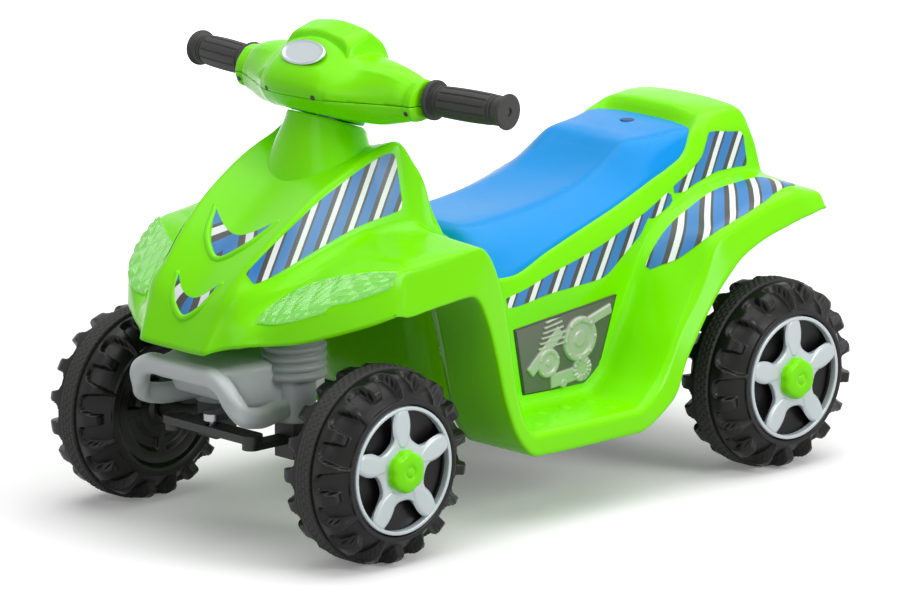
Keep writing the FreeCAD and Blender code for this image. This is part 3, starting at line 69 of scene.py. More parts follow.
# Printed bars: their slant by metre of width, height and length, their start and pitch in metres, the blue
# share of a pitch, and the middle and half-width of the white line as shares of it
BAR_SLANT = (0.6, -0.45, 0.8)
BAR_START, BAR_PITCH = 1.0, 0.021
BLUE_SHARE, WHITE_SHARE, WHITE_HALF_SHARE = 0.45, 0.78, 0.12
# Rake of the steering axis, and the middle of the neck's mouth in mm
RAKE = math.radians(19.5)
NECK_Y, NECK_Z = -155.3, 351
# Handlebar: radius of the bar in mm and the way that its ends sweep back
BAR_RADIUS = 8
BAR_SWEEP = math.radians(7)


def middle(node):
    """Middle of a CAD node's box."""
    low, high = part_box(node)
    return np.array((low + high) / 2)


FRONT_AXLE = middle("front_left_traction_band")
REAR_AXLE = middle("rear_left_traction_band")
MID = np.array([0, (FRONT_AXLE[1] + REAR_AXLE[1]) / 2, 0])


def spot(points):
    """Millimetres from the ground point half-way between the axles, as metres in the frame."""
    return np.asarray(points, float) * MM + MID


# Numeric surfaces


def cubic(knots, values, at, tight=False):
    """Hermite curve through values at knots. Slopes are weighted means of the chords; if tight, they are no
    more than twice the flatter chord, and nil at turning points."""
    flat = np.asarray(values, float).reshape(len(knots), -1)
    step = np.diff(knots)
    chord = np.diff(flat, axis=0) / step[:, None]
    left, right = chord[:-1], chord[1:]
    inner = (left * step[1:, None] + right * step[:-1, None]) / (step[:-1] + step[1:])[:, None]
    if tight:
        limit = 2 * np.minimum(abs(left), abs(right))
        inner = np.where(left * right > 0, np.sign(inner) * np.minimum(abs(inner), limit), 0)
    slope = np.vstack([chord[:1], inner, chord[-1:]])
    i = np.clip(np.searchsorted(knots, at, side="right") - 1, 0, len(step) - 1)
    t, h = ((at - knots[i]) / step[i])[:, None], step[i][:, None]
    out = (1 + 2 * t) * (1 - t) ** 2 * flat[i] + t * (1 - t) ** 2 * h * slope[i]
    out += t * t * (3 - 2 * t) * flat[i + 1] + t * t * (t - 1) * h * slope[i + 1]
    return out.reshape((len(at),) + np.shape(values)[1:])


def rows_apart(rows):
    """Distance of each row from the first one, as a mean over the columns."""
    chord = np.linalg.norm(np.diff(rows, axis=0), axis=2).mean(axis=1)
    return np.concatenate([[0], np.cumsum(chord)])


def carried(rows, count, tight=False):
    """Control rows of shape (stations, columns, 3) joined by cubic curves and resampled to count rows."""
    rows = np.asarray(rows, float)
    knots = rows_apart(rows)
    return cubic(knots, rows, np.linspace(0, knots[-1], count), tight)


def rounded(rows, trims, bend=6, closed=False):
    """Straight runs between the columns, joined at each column C by a parabola
    (1-s)^2 A + 2 s (1-s) C + s^2 B that starts and ends a trim length from the corner."""
    trims = np.broadcast_to(np.asarray(trims, float), rows.shape[1:2])
    if closed:
        rows = np.concatenate([rows[:, -1:], rows, rows[:, :1]], axis=1)
        trims = np.concatenate([trims[-1:], trims, trims[:1]])
    corner = rows[:, 1:-1]
    back, ahead = rows[:, :-2] - corner, rows[:, 2:] - corner
    back_long, ahead_long = np.linalg.norm(back, axis=2), np.linalg.norm(ahead, axis=2)
    trim = np.minimum(trims[1:-1], CORNER_SHARE * np.minimum(back_long, ahead_long))
    first = corner + back * (trim / np.maximum(back_long, 1e-9))[..., None]
    last = corner + ahead * (trim / np.maximum(ahead_long, 1e-9))[..., None]
    s = np.linspace(0, 1, bend)[:, None]
    curves = (1 - s) ** 2 * first[:, :, None] + 2 * s * (1 - s) * corner[:, :, None]
    curves += s * s * last[:, :, None]
    run = RUN_SHARES[:, None]
    columns = [] if closed else [rows[:, :1]]
    start = last[:, -1] if closed else rows[:, 0]
    for j in range(corner.shape[1]):
        columns.append(start[:, None] + (first[:, j] - start)[:, None] * run)
        columns.append(curves[:, j])
        start = last[:, j]
    if not closed:
        columns += [start[:, None] + (rows[:, -1] - start)[:, None] * run, rows[:, -1:]]
    return np.concatenate(columns, axis=1)


def mirrored(grid):
    """The grid mirrored in the middle plane, its columns turned round so that faces stay outward."""
    return grid[:, ::-1] * np.array([-1, 1, 1])


def whole(half):
    """Columns from the middle plane outwards, continued over the middle to the other side."""
    return np.concatenate([mirrored(half)[:, :-1], half], axis=1)


def turned(profile, steps, shape=None):
    """Pairs (a, r) turned about X: (a, r cos t, r sin t), where shape(t, a, r) may bend a and r."""
    t = np.linspace(0, TAU, steps, endpoint=False)[None, :]
    a, r = (np.asarray(profile, float)[:, k][:, None] + 0 * t for k in (0, 1))
    if shape:
        a, r = shape(t + 0 * a, a, r)
    return np.stack([a, r * np.cos(t), r * np.sin(t)], axis=2)


def swept(path, section, up=(0, 0, 1)):
    """Section of (side, up) pairs carried along a path, square to it: P + side S + up U."""
    path = np.asarray(path, float)
    along = np.gradient(path, axis=0)
    along /= np.linalg.norm(along, axis=1)[:, None]
    side = np.cross(along, np.asarray(up, float))
    side /= np.linalg.norm(side, axis=1)[:, None]
    rise = np.cross(side, along)
    section = np.asarray(section, float)
    return path[:, None] + section[None, :, :1] * side[:, None] + section[None, :, 1:] * rise[:, None]


def oblong(width, height, corner, steps=4):
    """Rounded rectangle about the origin, as a closed list of points."""
    quarter = np.linspace(0, math.pi / 2, steps)
    points = []
    for k, (sx, sy) in enumerate(((1, 1), (-1, 1), (-1, -1), (1, -1))):
        angle = quarter + k * math.pi / 2
        points.append(np.stack([sx * (width / 2 - corner) + corner * np.cos(angle),
                                sy * (height / 2 - corner) + corner * np.sin(angle)], axis=1))
    return np.concatenate(points)


def smooth(low, high, value):
    """Smoothstep from 0 at low to 1 at high."""
    t = np.clip((value - low) / (high - low), 0, 1)
    return t * t * (3 - 2 * t)


class Sheet:
    """A grid of points, closed across its columns if around, its end rows drawn to poles if ends. Its faces
    turn away from an inner point."""

    def __init__(self, grid, around=False, away=None, ends=False):
        self.grid, self.around, self.away, self.ends = np.asarray(grid, float), around, away, ends

    def arrays(self):
        """Points and four-sided faces."""
        grid = self.grid
        if self.ends:
            first, last = grid[:1].mean(axis=1, keepdims=True), grid[-1:].mean(axis=1, keepdims=True)
            cap = np.ones((1, grid.shape[1], 1))
            grid = np.concatenate([first * cap, grid, last * cap])
        index = np.arange(grid.shape[0] * grid.shape[1]).reshape(grid.shape[:2])
        if self.around:
            index = np.concatenate([index, index[:, :1]], axis=1)
        corners = index[:-1, :-1], index[1:, :-1], index[1:, 1:], index[:-1, 1:]
        faces = np.stack(corners, axis=2).reshape(-1, 4)
        verts = grid.reshape(-1, 3)
        if self.away is not None:
            p = verts[faces]
            normal = np.cross(p[:, 2] - p[:, 0], p[:, 3] - p[:, 1])
            if (normal * (p.mean(axis=1) - np.asarray(self.away))).sum() < 0:
                faces = faces[:, ::-1]
        return verts, faces


def build_mesh(name, sheets, soft=True):
    """One mesh of several sheets, with seams and poles merged."""
    verts, faces, base = [], [], 0
    for sheet in sheets:
        v, f = sheet.arrays()
        verts.append(v)
        faces.append(f + base)
        base += len(v)
    verts, faces = np.concatenate(verts), np.concatenate(faces)
    mesh = bpy.data.meshes.new(name)
    mesh.vertices.add(len(verts))
    mesh.vertices.foreach_set("co", verts.ravel())
    mesh.loops.add(faces.size)
    mesh.loops.foreach_set("vertex_index", faces.ravel().astype(np.int32))
    mesh.polygons.add(len(faces))
    mesh.polygons.foreach_set("loop_start", np.arange(0, faces.size, 4, dtype=np.int32))
    mesh.update(calc_edges=True)
    work = bmesh.new()
    work.from_mesh(mesh)
    bmesh.ops.remove_doubles(work, verts=work.verts, dist=MERGED)
    bmesh.ops.dissolve_degenerate(work, edges=work.edges, dist=THIN)
    work.to_mesh(mesh)
    work.free()
    mesh.polygons.foreach_set("use_smooth", np.full(len(mesh.polygons), soft))
    return mesh


def add_piece(name, sheets, material, body, nodes=(), wall=0, soft=True):
    """Makes a piece of its sheets and finishes it."""
    return finish_piece(name, build_mesh(name, sheets, soft), material, body, nodes, wall)


def finish_piece(name, mesh, material, body, nodes=(), wall=0):
    """Gives a mesh its material and wall, hangs it on a CAD body and lets it stand for CAD nodes."""
    item = bpy.data.objects.new(name, mesh)
    bpy.context.scene.collection.objects.link(item)
    mesh.materials.append(material)
    if wall:
        shell = item.modifiers.new("wall", "SOLIDIFY")
        shell.thickness = wall
        shell.offset = -1
        shell.use_even_offset = False
    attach(item, body)
    if nodes:
        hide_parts(*nodes)
    return item


# Materials


def linear(code):
    """sRGB hex code as a linear colour."""
    c = np.array([int(code[i:i + 2], 16) for i in (1, 3, 5)]) / 255
    return tuple(np.where(c <= 0.04045, c / 12.92, ((c + 0.055) / 1.055) ** 2.4)) + (1.0,)


def add(tree, kind, inputs=(), **settings):
    """Adds a node, sets its properties and fills its sockets with values or links."""
    item = tree.nodes.new(kind)
    for name, value in settings.items():
        setattr(item, name, value)
    for name, value in dict(inputs).items():
        if isinstance(value, bpy.types.NodeSocket):
            tree.links.new(value, item.inputs[name])
        else:
            item.inputs[name].default_value = value
    return item


def begin(name):
    """An empty material with its tree and output."""
    material = bpy.data.materials.new(name)
    material.use_nodes = True
    tree = material.node_tree
    tree.nodes.clear()
    return material, tree, add(tree, "ShaderNodeOutputMaterial")


def surface_of(name, colour, rough, grain, depth, **principled):
    """Moulding of one colour: a noise with the grain's size in metres gives its bump and play of gloss."""
    material, tree, out = begin(name)
    place = add(tree, "ShaderNodeTexCoord")
    noise = add(tree, "ShaderNodeTexNoise", {
        "Vector": place.outputs["Object"], "Scale": 1 / grain, "Detail": 3})
    gloss = add(tree, "ShaderNodeMapRange", {
        "Value": noise.outputs["Fac"], "To Min": rough * (1 - GLOSS_SHARE),
        "To Max": rough * (1 + GLOSS_SHARE)})
    bump = add(tree, "ShaderNodeBump", {"Height": noise.outputs["Fac"], "Distance": depth, "Strength": 1})
    inputs = {
        "Base Color": tuple(colour), "Roughness": gloss.outputs["Result"], "Normal": bump.outputs["Normal"]}
    inputs.update({key.replace("_", " "): value for key, value in principled.items()})
    shader = add(tree, "ShaderNodeBsdfPrincipled", inputs)
    tree.links.new(shader.outputs["BSDF"], out.inputs["Surface"])
    return material


def make_materials(looks):
    """Every material of the quad, by the name that the pieces ask for."""
    return {
        # Blow-moulded polyethylene is waxy: a broad soft gloss over a slightly rippled skin.
        "green": surface_of("lime_polyethylene", looks.green, 0.2, 0.02, 0.00005, Specular_IOR_Level=0.15),
        "blue": surface_of("blue_polyethylene", looks.blue, 0.26, 0.02, 0.00005, Specular_IOR_Level=0.15),
        # A dark blue disc of painted shade stands for the bottom of a screw hole in it, with little gloss.
        "hole_shade": surface_of("shaded_polyethylene", linear("#0a3c78"), 0.5, 0.02, 0.00005),
        # Grey polypropylene has a satin grain from the mould.
        "grey": surface_of("grey_polypropylene", looks.grey, 0.42, 0.003, 0.00004),
        "strut": surface_of("strut_polypropylene", looks.strut, 0.4, 0.003, 0.00004),
        # Black moulded wheels shine on their edges and stay dark in the pockets. Hidden parts are duller.
        "black": surface_of(
            "black_polypropylene", looks.black, 0.33, 0.004, 0.00002, Specular_IOR_Level=0.25),
        "dark": surface_of("dark_polypropylene", looks.black, 0.5, 0.002, 0.00004),
        # Rubber is matt, with a fine pitted skin.
        "rubber": surface_of("tread_rubber", looks.rubber, 0.7, 0.0012, 0.00006),
        "grip": surface_of("grip_rubber", looks.rubber, 0.62, 0.001, 0.00005),
        # Silver-grey trim is a pigmented plastic with a metallic flake. The plate's coat is brighter.
        "silver": surface_of("silver_plastic", looks.silver, 0.36, 0.0015, 0.00002, Metallic=0.25),
        "plate": surface_of("plate_chrome_plastic", looks.silver, 0.25, 0.003, 0.00001, Metallic=0.5),
        # Charcoal plastic frames the motor panel with a satin edge.
        "frame": surface_of("charcoal_plastic", looks.charcoal, 0.38, 0.002, 0.00003),
        "relief": relief_plastic(looks),
        # Drawn steel and cut brass are bare metal with fine tool marks.
        "steel": surface_of("drawn_steel", linear("#9a9c9e"), 0.32, 0.0006, 0.00001, Metallic=1.0),
        "brass": surface_of("cut_brass", linear("#b89a55"), 0.35, 0.0006, 0.00001, Metallic=1.0),
        # Nylon is milky and half matt, and the button's plastic is glossy.
        "nylon": surface_of("white_nylon", linear("#dedcd4"), 0.45, 0.002, 0.00002),
        "red": surface_of("red_plastic", linear("#c3161c"), 0.3, 0.003, 0.00002),
        "lens": clear_plastic(looks),
        "decal": printed_vinyl(looks),
    }


def relief_plastic(looks):
    """Moulded panel whose raised parts are wiped silver: the height over the wall sets the colour."""
    material, tree, out = begin("relief_plastic")
    place = add(tree, "ShaderNodeTexCoord")
    point = add(tree, "ShaderNodeSeparateXYZ", {"Vector": place.outputs["Object"]})
    foot = (PANEL_X - PANEL_Z * PANEL_LEAN + PANEL_LIFT) * MM
    wall = add(tree, "ShaderNodeMath", {0: point.outputs["Z"], 1: PANEL_LEAN, 2: foot},
               operation="MULTIPLY_ADD")
    wide = add(tree, "ShaderNodeMath", {0: point.outputs["X"]}, operation="ABSOLUTE")
    height = add(tree, "ShaderNodeMath", {0: wide.outputs[0], 1: wall.outputs[0]}, operation="SUBTRACT")
    share = add(tree, "ShaderNodeMapRange", {
        "Value": height.outputs[0], "From Min": WIPED_FROM * MM, "From Max": WIPED_TO * MM})
    tone = add(tree, "ShaderNodeMix", {
        "Factor": share.outputs["Result"], 6: tuple(looks.ground), 7: tuple(looks.relief)},
        data_type="RGBA")
    shader = add(tree, "ShaderNodeBsdfPrincipled", {
        "Base Color": tone.outputs[2], "Roughness": 0.38, "Metallic": 0.15})
    tree.links.new(shader.outputs["BSDF"], out.inputs["Surface"])
    return material


def clear_plastic(looks):
    """Clear polycarbonate over the body: the prisms catch the light and a little green shows through."""
    material, tree, out = begin("clear_polycarbonate")
    shader = add(tree, "ShaderNodeBsdfPrincipled", {
        "Base Color": tuple(looks.lens), "Roughness": 0.12, "IOR": 1.5, "Transmission Weight": 0.7,
        "Specular IOR Level": 0.7})
    tree.links.new(shader.outputs["BSDF"], out.inputs["Surface"])
    return material


def printed_vinyl(looks):
    """Printed label: slanted bars of blue and white on charcoal, straight across every label."""
    material, tree, out = begin("printed_vinyl")
    place = add(tree, "ShaderNodeTexCoord")
    point = add(tree, "ShaderNodeSeparateXYZ", {"Vector": place.outputs["Object"]})
    wide = add(tree, "ShaderNodeMath", {0: point.outputs["X"]}, operation="ABSOLUTE")
    slant = BAR_START
    for socket, share in zip((wide.outputs[0], point.outputs["Z"], point.outputs["Y"]), BAR_SLANT):
        term = add(tree, "ShaderNodeMath", {0: socket, 1: share, 2: slant}, operation="MULTIPLY_ADD")
        slant = term.outputs[0]
    count = add(tree, "ShaderNodeMath", {0: slant, 1: BAR_PITCH}, operation="DIVIDE")
    phase = add(tree, "ShaderNodeMath", {0: count.outputs[0]}, operation="FRACT")
    blue = add(tree, "ShaderNodeMath", {0: phase.outputs[0], 1: BLUE_SHARE}, operation="LESS_THAN")
    white = add(tree, "ShaderNodeMath", {0: phase.outputs[0], 1: WHITE_SHARE, 2: WHITE_HALF_SHARE},
                operation="COMPARE")
    ground = add(tree, "ShaderNodeMix", {
        "Factor": blue.outputs[0], 6: tuple(looks.charcoal), 7: tuple(looks.decal_blue)}, data_type="RGBA")
    ink = add(tree, "ShaderNodeMix", {
        "Factor": white.outputs[0], 6: ground.outputs[2], 7: linear("#e8ecee")}, data_type="RGBA")
    shader = add(tree, "ShaderNodeBsdfPrincipled", {"Base Color": ink.outputs[2], "Roughness": 0.35})
    tree.links.new(shader.outputs["BSDF"], out.inputs["Surface"])
    return material


# Body, in millimetres from mid-wheelbase, a row for each station from nose to tail. The columns are middle,
# half-way, ridge, valley or seat rim, two down the tunnel wall, its foot, four over the fender and foot
# board, outer edge, lip edge and behind the lip.
BODY_ROWS = (
    ((0, -335, 176), (20, -336, 176), (41, -337, 177), (50, -327, 181), (60, -322, 184), (66, -319, 185),
     (72, -316, 187), (90, -304, 188), (112, -289, 191), (135, -264, 199), (150, -238, 206),
     (158, -222, 211.5), (158, -222, 211.5), (154, -221, 214)),
    ((0, -324, 199), (20, -325, 200), (42, -326, 201), (53, -319, 203), (60, -314, 203), (66, -309, 203),
     (73, -304, 203), (91, -300, 204.5), (113, -287, 211.5), (136, -262, 221), (150.5, -232, 231),
     (157, -214, 232), (159, -214, 210), (155, -213, 213)),
    ((0, -303, 226), (22, -304, 231), (46, -304.5, 236.5), (58, -302, 231), (66, -290, 226.5),
     (73, -275, 227), (84, -253, 234), (103, -244, 241), (122, -234, 246), (139, -224, 249),
     (150.5, -214, 249.5), (154.5, -206, 247.5), (160, -207, 208.5), (155, -206, 212)),
    ((0, -282, 246.5), (25, -282, 252), (52.5, -283, 258), (64, -281, 236), (71, -270, 233),
     (79, -258, 235), (88, -243, 242), (105, -236, 246), (123, -227, 249), (140, -217, 250.5),
     (151.5, -208, 250.5), (155, -201, 248.5), (161, -200, 209), (156, -199, 213)),
    ((0, -250, 270.5), (28, -250, 277), (59.5, -250, 285), (70, -250, 246.5), (77, -245, 244),
     (86, -238, 245), (94, -230, 248), (109, -225, 250), (126, -217, 251), (141.5, -209, 251.3),
     (152, -201, 251), (156, -192, 249.5), (162, -190, 210.5), (156, -189, 215)),
    ((0, -222, 292), (30, -222, 297), (62, -222, 303.5), (74.5, -223, 256), (82, -220.5, 253),
     (90, -217.5, 252.5), (98, -214, 253), (111.5, -211, 252.5), (127.5, -206, 252), (143, -201, 252),
     (153, -191, 251.5), (157, -179, 251.5), (163, -178, 212), (157, -177, 217)),
    ((0, -196, 311), (31, -195, 313), (64.5, -194, 318), (78, -199, 264), (86, -198, 260),
     (93, -198, 258.5), (101, -198, 257.5), (114, -197, 256), (129, -196, 255), (144, -191, 254),
     (154, -178, 253), (158, -166, 253), (164, -166, 213.5), (152, -165, 219)),
    ((0, -163, 321), (33, -164, 324), (64.5, -164, 330.5), (82, -167, 270), (89, -166, 266),
     (96, -165, 264), (103, -164, 262.5), (116, -163, 260), (131, -161, 258), (146, -158, 257),
     (155, -154, 256), (159, -149, 255), (165, -152, 215.5), (135, -152, 222)),
    ((0, -136, 324), (35, -136, 330), (70, -136, 339.5), (85, -138, 272), (91, -134, 268),
     (97, -131, 265), (103, -129, 263), (116, -127, 261), (131, -126, 259.5), (146, -125, 258.5),
     (156, -124.5, 257.5), (160, -124, 257), (166, -139, 216.5), (112, -140, 224)),
    ((0, -112, 314), (38, -114, 316), (75, -119, 317), (87, -124, 268), (90, -119, 262), (93, -115, 256),
     (96, -112, 251), (105, -111, 249.5), (119, -111, 249), (134, -111, 248.8), (149, -111, 248.6),
     (161, -111, 248.5), (166.5, -130, 211), (98, -131, 216)),
    ((0, -100, 296), (40, -104, 298), (80, -113, 301), (89, -117, 264), (92, -112, 255), (94, -106, 243),
     (96, -101.5, 230), (105, -101, 227), (119, -101, 226.5), (134, -101, 226.3), (150, -101, 226.2),
     (162, -101, 226), (167.5, -121, 192), (95, -121, 192)),
    ((0, -92, 276), (42, -97, 277), (85, -111, 281), (92, -111, 258), (95, -106, 240), (97, -98, 212),
     (97, -92, 187), (105, -91.5, 182), (120, -91.5, 181.5), (135, -91.5, 181.3), (152, -91.5, 181.2),
     (165, -91.5, 181), (169, -112, 160), (95, -112, 160)),
    ((0, -82, 262), (45, -88, 261), (90, -101, 257), (95, -103, 247), (96.5, -97, 222), (98.5, -90, 178),
     (97, -84, 127), (106, -83.5, 121), (121, -83.5, 120.5), (137, -83.5, 120.3), (154, -83.5, 120.2),
     (169.5, -83.5, 120), (172, -100, 110), (95, -100, 110)),
    ((0, -70, 255), (45, -73, 251), (89, -84, 235), (95, -86, 229), (97, -82, 206), (99.5, -79, 174),
     (97, -77, 104), (106, -77, 98), (121, -77, 97.5), (138, -77, 97.3), (156, -77, 97.2),
     (171.5, -77, 97), (174, -89, 83), (95, -89, 83)),
    ((0, -48, 244), (45, -50, 238), (86, -58, 212), (95, -60, 208), (97, -61, 189), (100.5, -61, 174),
     (97, -60, 94), (107, -61, 86), (122, -61.5, 86), (139, -62, 86), (157, -62, 86), (172.5, -62, 86),
     (175, -68, 65), (95, -68, 65)),
    ((0, -18, 226), (45, -18, 222), (84, -20, 200), (93, -20, 206.5), (97, -20, 191.5),
     (101, -20, 177.5), (97, -20, 94), (107, -20, 86), (122, -20, 86), (139, -20, 86), (157, -20, 86),
     (173, -20, 86), (175, -20, 64), (95, -20, 64)),
    ((0, 25, 220), (45, 25, 217), (82, 25, 212), (91, 25, 221.5), (96.5, 25, 204), (101, 25, 182),
     (97, 25, 94), (107, 25, 86), (122, 25, 86), (139, 25, 86), (157, 25, 86), (173, 25, 86),
     (175, 25, 64), (95, 25, 64)),
    ((0, 56, 226), (45, 56, 224), (80, 56, 221), (89.3, 56, 231), (96, 56, 212), (101, 56, 182.5),
     (97, 56, 94), (107, 56, 86), (122, 56, 86), (139, 56, 86), (157, 56, 86), (173, 56, 86),
     (175, 57, 64), (95, 57, 64)),
    ((0, 80, 230), (45, 80, 229), (78, 80, 228), (87.5, 80, 237.5), (95.5, 80, 219), (100.5, 80, 183),
     (97.5, 79, 108), (107, 79, 99), (122, 79.5, 98.5), (139, 80, 98), (155, 81, 98), (168.5, 83, 99),
     (173.5, 97, 82), (95, 97, 82)),
    ((0, 118, 240), (45, 118, 239), (74, 118, 238), (84.6, 118, 248.5), (93.5, 118, 230),
     (97.5, 118, 204), (98.5, 112, 162), (106, 112, 153), (120, 113, 151), (136, 115, 149),
     (151, 117, 147.5), (162, 119, 146), (170.5, 124, 122), (95, 124, 122)),
    ((0, 144, 248), (42, 144, 247), (71, 144, 247), (82, 144, 256.5), (90.5, 144, 237.5), (94, 146, 221),
     (97, 139, 207), (105, 138, 200), (119, 139, 196), (134, 141, 191), (149, 144, 185.5),
     (159.5, 147, 182), (168.5, 158, 166), (95, 158, 166)),
    ((0, 168, 256), (40, 168, 255), (69, 168, 255), (79.7, 168, 264.7), (87.5, 168, 246.5),
     (91, 169, 231.5), (96, 165, 228), (104, 165, 224), (118, 166, 223), (133, 167, 222),
     (147, 169, 221.5), (157, 171, 217), (167.6, 176, 184), (95, 176, 184)),
    ((0, 190, 262), (38, 190, 261), (66, 190, 261), (77.3, 190, 271.5), (84.5, 190, 256),
     (88, 190, 239.5), (94, 190, 239), (104, 190, 236), (118, 190, 233.5), (133, 190, 231.5),
     (147.5, 190, 230.5), (157, 192, 226), (167, 194, 198.5), (95, 195, 198.5)),
    ((0, 214, 270), (38, 214, 270), (62, 213, 272), (73, 213, 281.5), (81.5, 216, 267),
     (85.5, 216, 248.5), (93, 216, 248), (104, 216, 246), (118, 216, 242.5), (133, 216, 240),
     (147, 217, 238.5), (156.5, 219, 234), (165.7, 222, 210), (95, 222, 210)),
    ((0, 229, 279), (38, 229, 279), (58, 227, 286), (68, 226.5, 296), (78.5, 231, 277), (84.5, 231, 251),
     (92, 231, 250.5), (104, 231, 248.5), (118, 231, 246), (132.5, 231, 244), (146.5, 232, 242.5),
     (156, 234, 238), (165, 235, 213.5), (95, 235, 213.5)),
    ((0, 240, 296), (30, 240, 296), (50, 239, 295), (64, 239, 302), (75, 239, 288.5), (83.5, 241, 252),
     (91.5, 241, 251.5), (104, 241, 249.2), (118, 241, 247.7), (132, 242, 246.3), (146.2, 243, 244.8),
     (156, 244, 240), (164.5, 245, 215.5), (95, 245, 215.5)),
    ((0, 249, 310.5), (30, 249, 310), (50, 250, 308), (60, 251, 306.5), (71.5, 247, 297),
     (82.5, 249, 252.5), (91, 249, 252), (104, 249, 249.8), (118, 249, 248.8), (132, 250, 247.8),
     (146, 251, 246.3), (156, 252, 241.3), (164, 253, 217), (95, 253, 217)),
    ((0, 275, 312.5), (30, 275, 312), (54, 275, 310), (64, 275, 307.5), (72, 273, 293),
     (80.5, 275, 252.5), (90, 275, 252), (104, 275, 251), (118, 275, 251), (132, 275, 250.5),
     (145, 276, 249), (155, 277, 244), (162.5, 277, 221.5), (95, 277, 221.5)),
    ((0, 290, 312.5), (30, 290, 312), (56, 290, 309.5), (65.5, 290, 306.5), (73, 290, 290),
     (80, 290, 251.5), (89, 290, 250.5), (104, 290, 248.5), (117.5, 290, 248), (131.5, 290, 247.5),
     (144.5, 290.5, 246), (154, 291, 242.5), (161.5, 292, 223.5), (95, 292, 223.5)),
    ((0, 298, 303), (30, 298, 303), (57, 298, 301), (66, 299, 298), (75, 300, 280), (79.5, 300, 250),
     (88, 300, 248.5), (104, 300, 246), (117, 300, 245.5), (131, 300, 244.5), (144, 300.5, 243.5),
     (153, 301, 241), (160.5, 302, 225), (95, 302, 225)),
    ((0, 304, 282), (30, 304, 282), (60, 304, 280), (70, 304, 276), (77, 304, 266), (79.5, 305, 248.5),
     (87, 305, 247), (104, 305, 245), (117, 305, 244.3), (131, 305, 243.3), (144, 305, 242.3),
     (152.7, 305.5, 240.3), (160, 306, 225.5), (95, 306, 225.5)),
    ((0, 308, 252), (30, 308, 252), (66, 308, 251), (74, 308, 250), (77, 308, 248.5), (79, 308, 247),
     (86, 308, 246), (104, 308, 244), (117, 308, 243), (131, 308, 242), (144, 308, 241),
     (152.5, 308, 239.5), (159.5, 308.5, 226), (95, 308.5, 226)),
    ((0, 309, 226), (30, 309, 226), (66, 309, 226), (74, 309, 226), (77, 309, 226), (79, 309, 226),
     (86, 309, 226), (104, 309, 226), (117, 309, 226), (131, 309, 226), (144, 309, 226), (156, 309, 226),
     (158, 309, 225.5), (95, 309, 225.5)),
)
BODY_TRIMS = np.array([40, 40, 5, 7, 6, 6, 10, 12, 14, 14, 12, 7, 4, 4]) * MM
# Points round a corner, rows of the body and of the finer skin that labels lie on
BEND, BODY_STEPS, SKIN_STEPS = 5, 215, 900
# Height in metres of the line inside the body that its skin turns away from
CORE_Z = 0.15


def body_skin(count):
    """Control rows of both sides, carried along the body and rounded across it."""
    rows = carried(spot(BODY_ROWS), count, True)
    return rounded(whole(rows), np.concatenate([BODY_TRIMS[:0:-1], BODY_TRIMS]), BEND)


def on_skin(stations, columns, lift):
    """Points on the body at fractional control rows and columns, bilinear on a fine skin and raised along
    the normal. The fraction of a column is a share of the skin's length between two control columns."""
    knots = rows_apart(spot(BODY_ROWS))
    fine = body_skin(SKIN_STEPS + 1)
    i = np.interp(stations, np.arange(len(knots)), knots) / knots[-1] * SKIN_STEPS
    i0 = np.clip(i.astype(int), 0, SKIN_STEPS - 1)
    step = BEND + len(RUN_SHARES)
    first = (len(BODY_TRIMS) - 1 + np.floor(columns).astype(int)) * step - BEND // 2
    span = np.clip(first[..., None] + np.arange(step + 1), 0, fine.shape[1] - 1)
    across = np.cumsum(np.linalg.norm(np.diff(fine, axis=1, prepend=fine[:, :1]), axis=2), axis=1)
    marks = across[i0[..., None], span]
    reach = marks[..., 0] + (columns - np.floor(columns)) * (marks[..., -1] - marks[..., 0])
    last = np.clip((marks <= reach[..., None]).sum(axis=2) - 1, 0, step - 1)[..., None]
    low, high = (np.take_along_axis(marks, last + k, axis=2)[..., 0] for k in (0, 1))
    j0 = np.clip(first + last[..., 0], 0, fine.shape[1] - 2)
    u, v = (i - i0)[..., None], ((reach - low) / np.maximum(high - low, 1e-9))[..., None]
    points = (1 - u) * ((1 - v) * fine[i0, j0] + v * fine[i0, j0 + 1])
    points += u * ((1 - v) * fine[i0 + 1, j0] + v * fine[i0 + 1, j0 + 1])
    normal = np.cross(np.gradient(points, axis=0), np.gradient(points, axis=1))
    normal /= np.maximum(np.linalg.norm(normal, axis=2, keepdims=True), 1e-12)
    core = np.stack([0 * points[..., 0], points[..., 1], 0 * points[..., 2] + CORE_Z], axis=2)
    normal *= np.sign(((points - core) * normal).sum())
    return points + normal * (lift if np.isscalar(lift) else lift[..., None])


# Wall under the hood: its outline in side view, and x across it
FIREWALL = ((-139, 217), (-130, 211), (-121, 192), (-112, 160), (-100, 110), (-94, 96))
FIREWALL_X = (-97, -50, 0, 50, 97)
# Neck from its foot to its turned-in lip: half-width, half-depth, middle y and z, share of the rake
NECK_RINGS = (
    (80, 60, -161, 262, 0), (65, 50, -160, 291, 0.3), (47, 41, -157.3, 325, 0.75),
    (36.5, 36.5, -155, 346, 1), (35.4, 35.4, -155.2, 349.8, 1), (34, 34, NECK_Y, NECK_Z, 1),
    (31, 31, -155.2, 350, 1), (29.5, 29.5, -153, 336, 1),
)
# Skirt of the pod: height over the neck's mouth along the steering axis, and radius
COLLAR_RINGS = ((4, 27), (1.6, 30), (1.4, 32.4), (2.2, 33.4), (8, 34), (22, 35), (24, 30))
# Hood vents: tip, side and lowest point of the left half of each lip
VENTS = (((42, -247, 281), (24, -273, 259), (0, -283, 246)),
         ((30, -302, 233.5), (17, -318, 211), (0, -323, 201)))


def body_sheets():
    """Hood, fenders, leg shields, foot boards, tunnel, rear fenders and tail as one skin over a net of
    feature lines, and the wall that joins the leg shields under the hood."""
    wall = [[(x, y, z) for x in FIREWALL_X] for y, z in FIREWALL]
    return [Sheet(body_skin(BODY_STEPS), away=spot((0, 0, 120))),
            Sheet(carried(spot(wall), 24), away=spot((0, -60, 140)))]


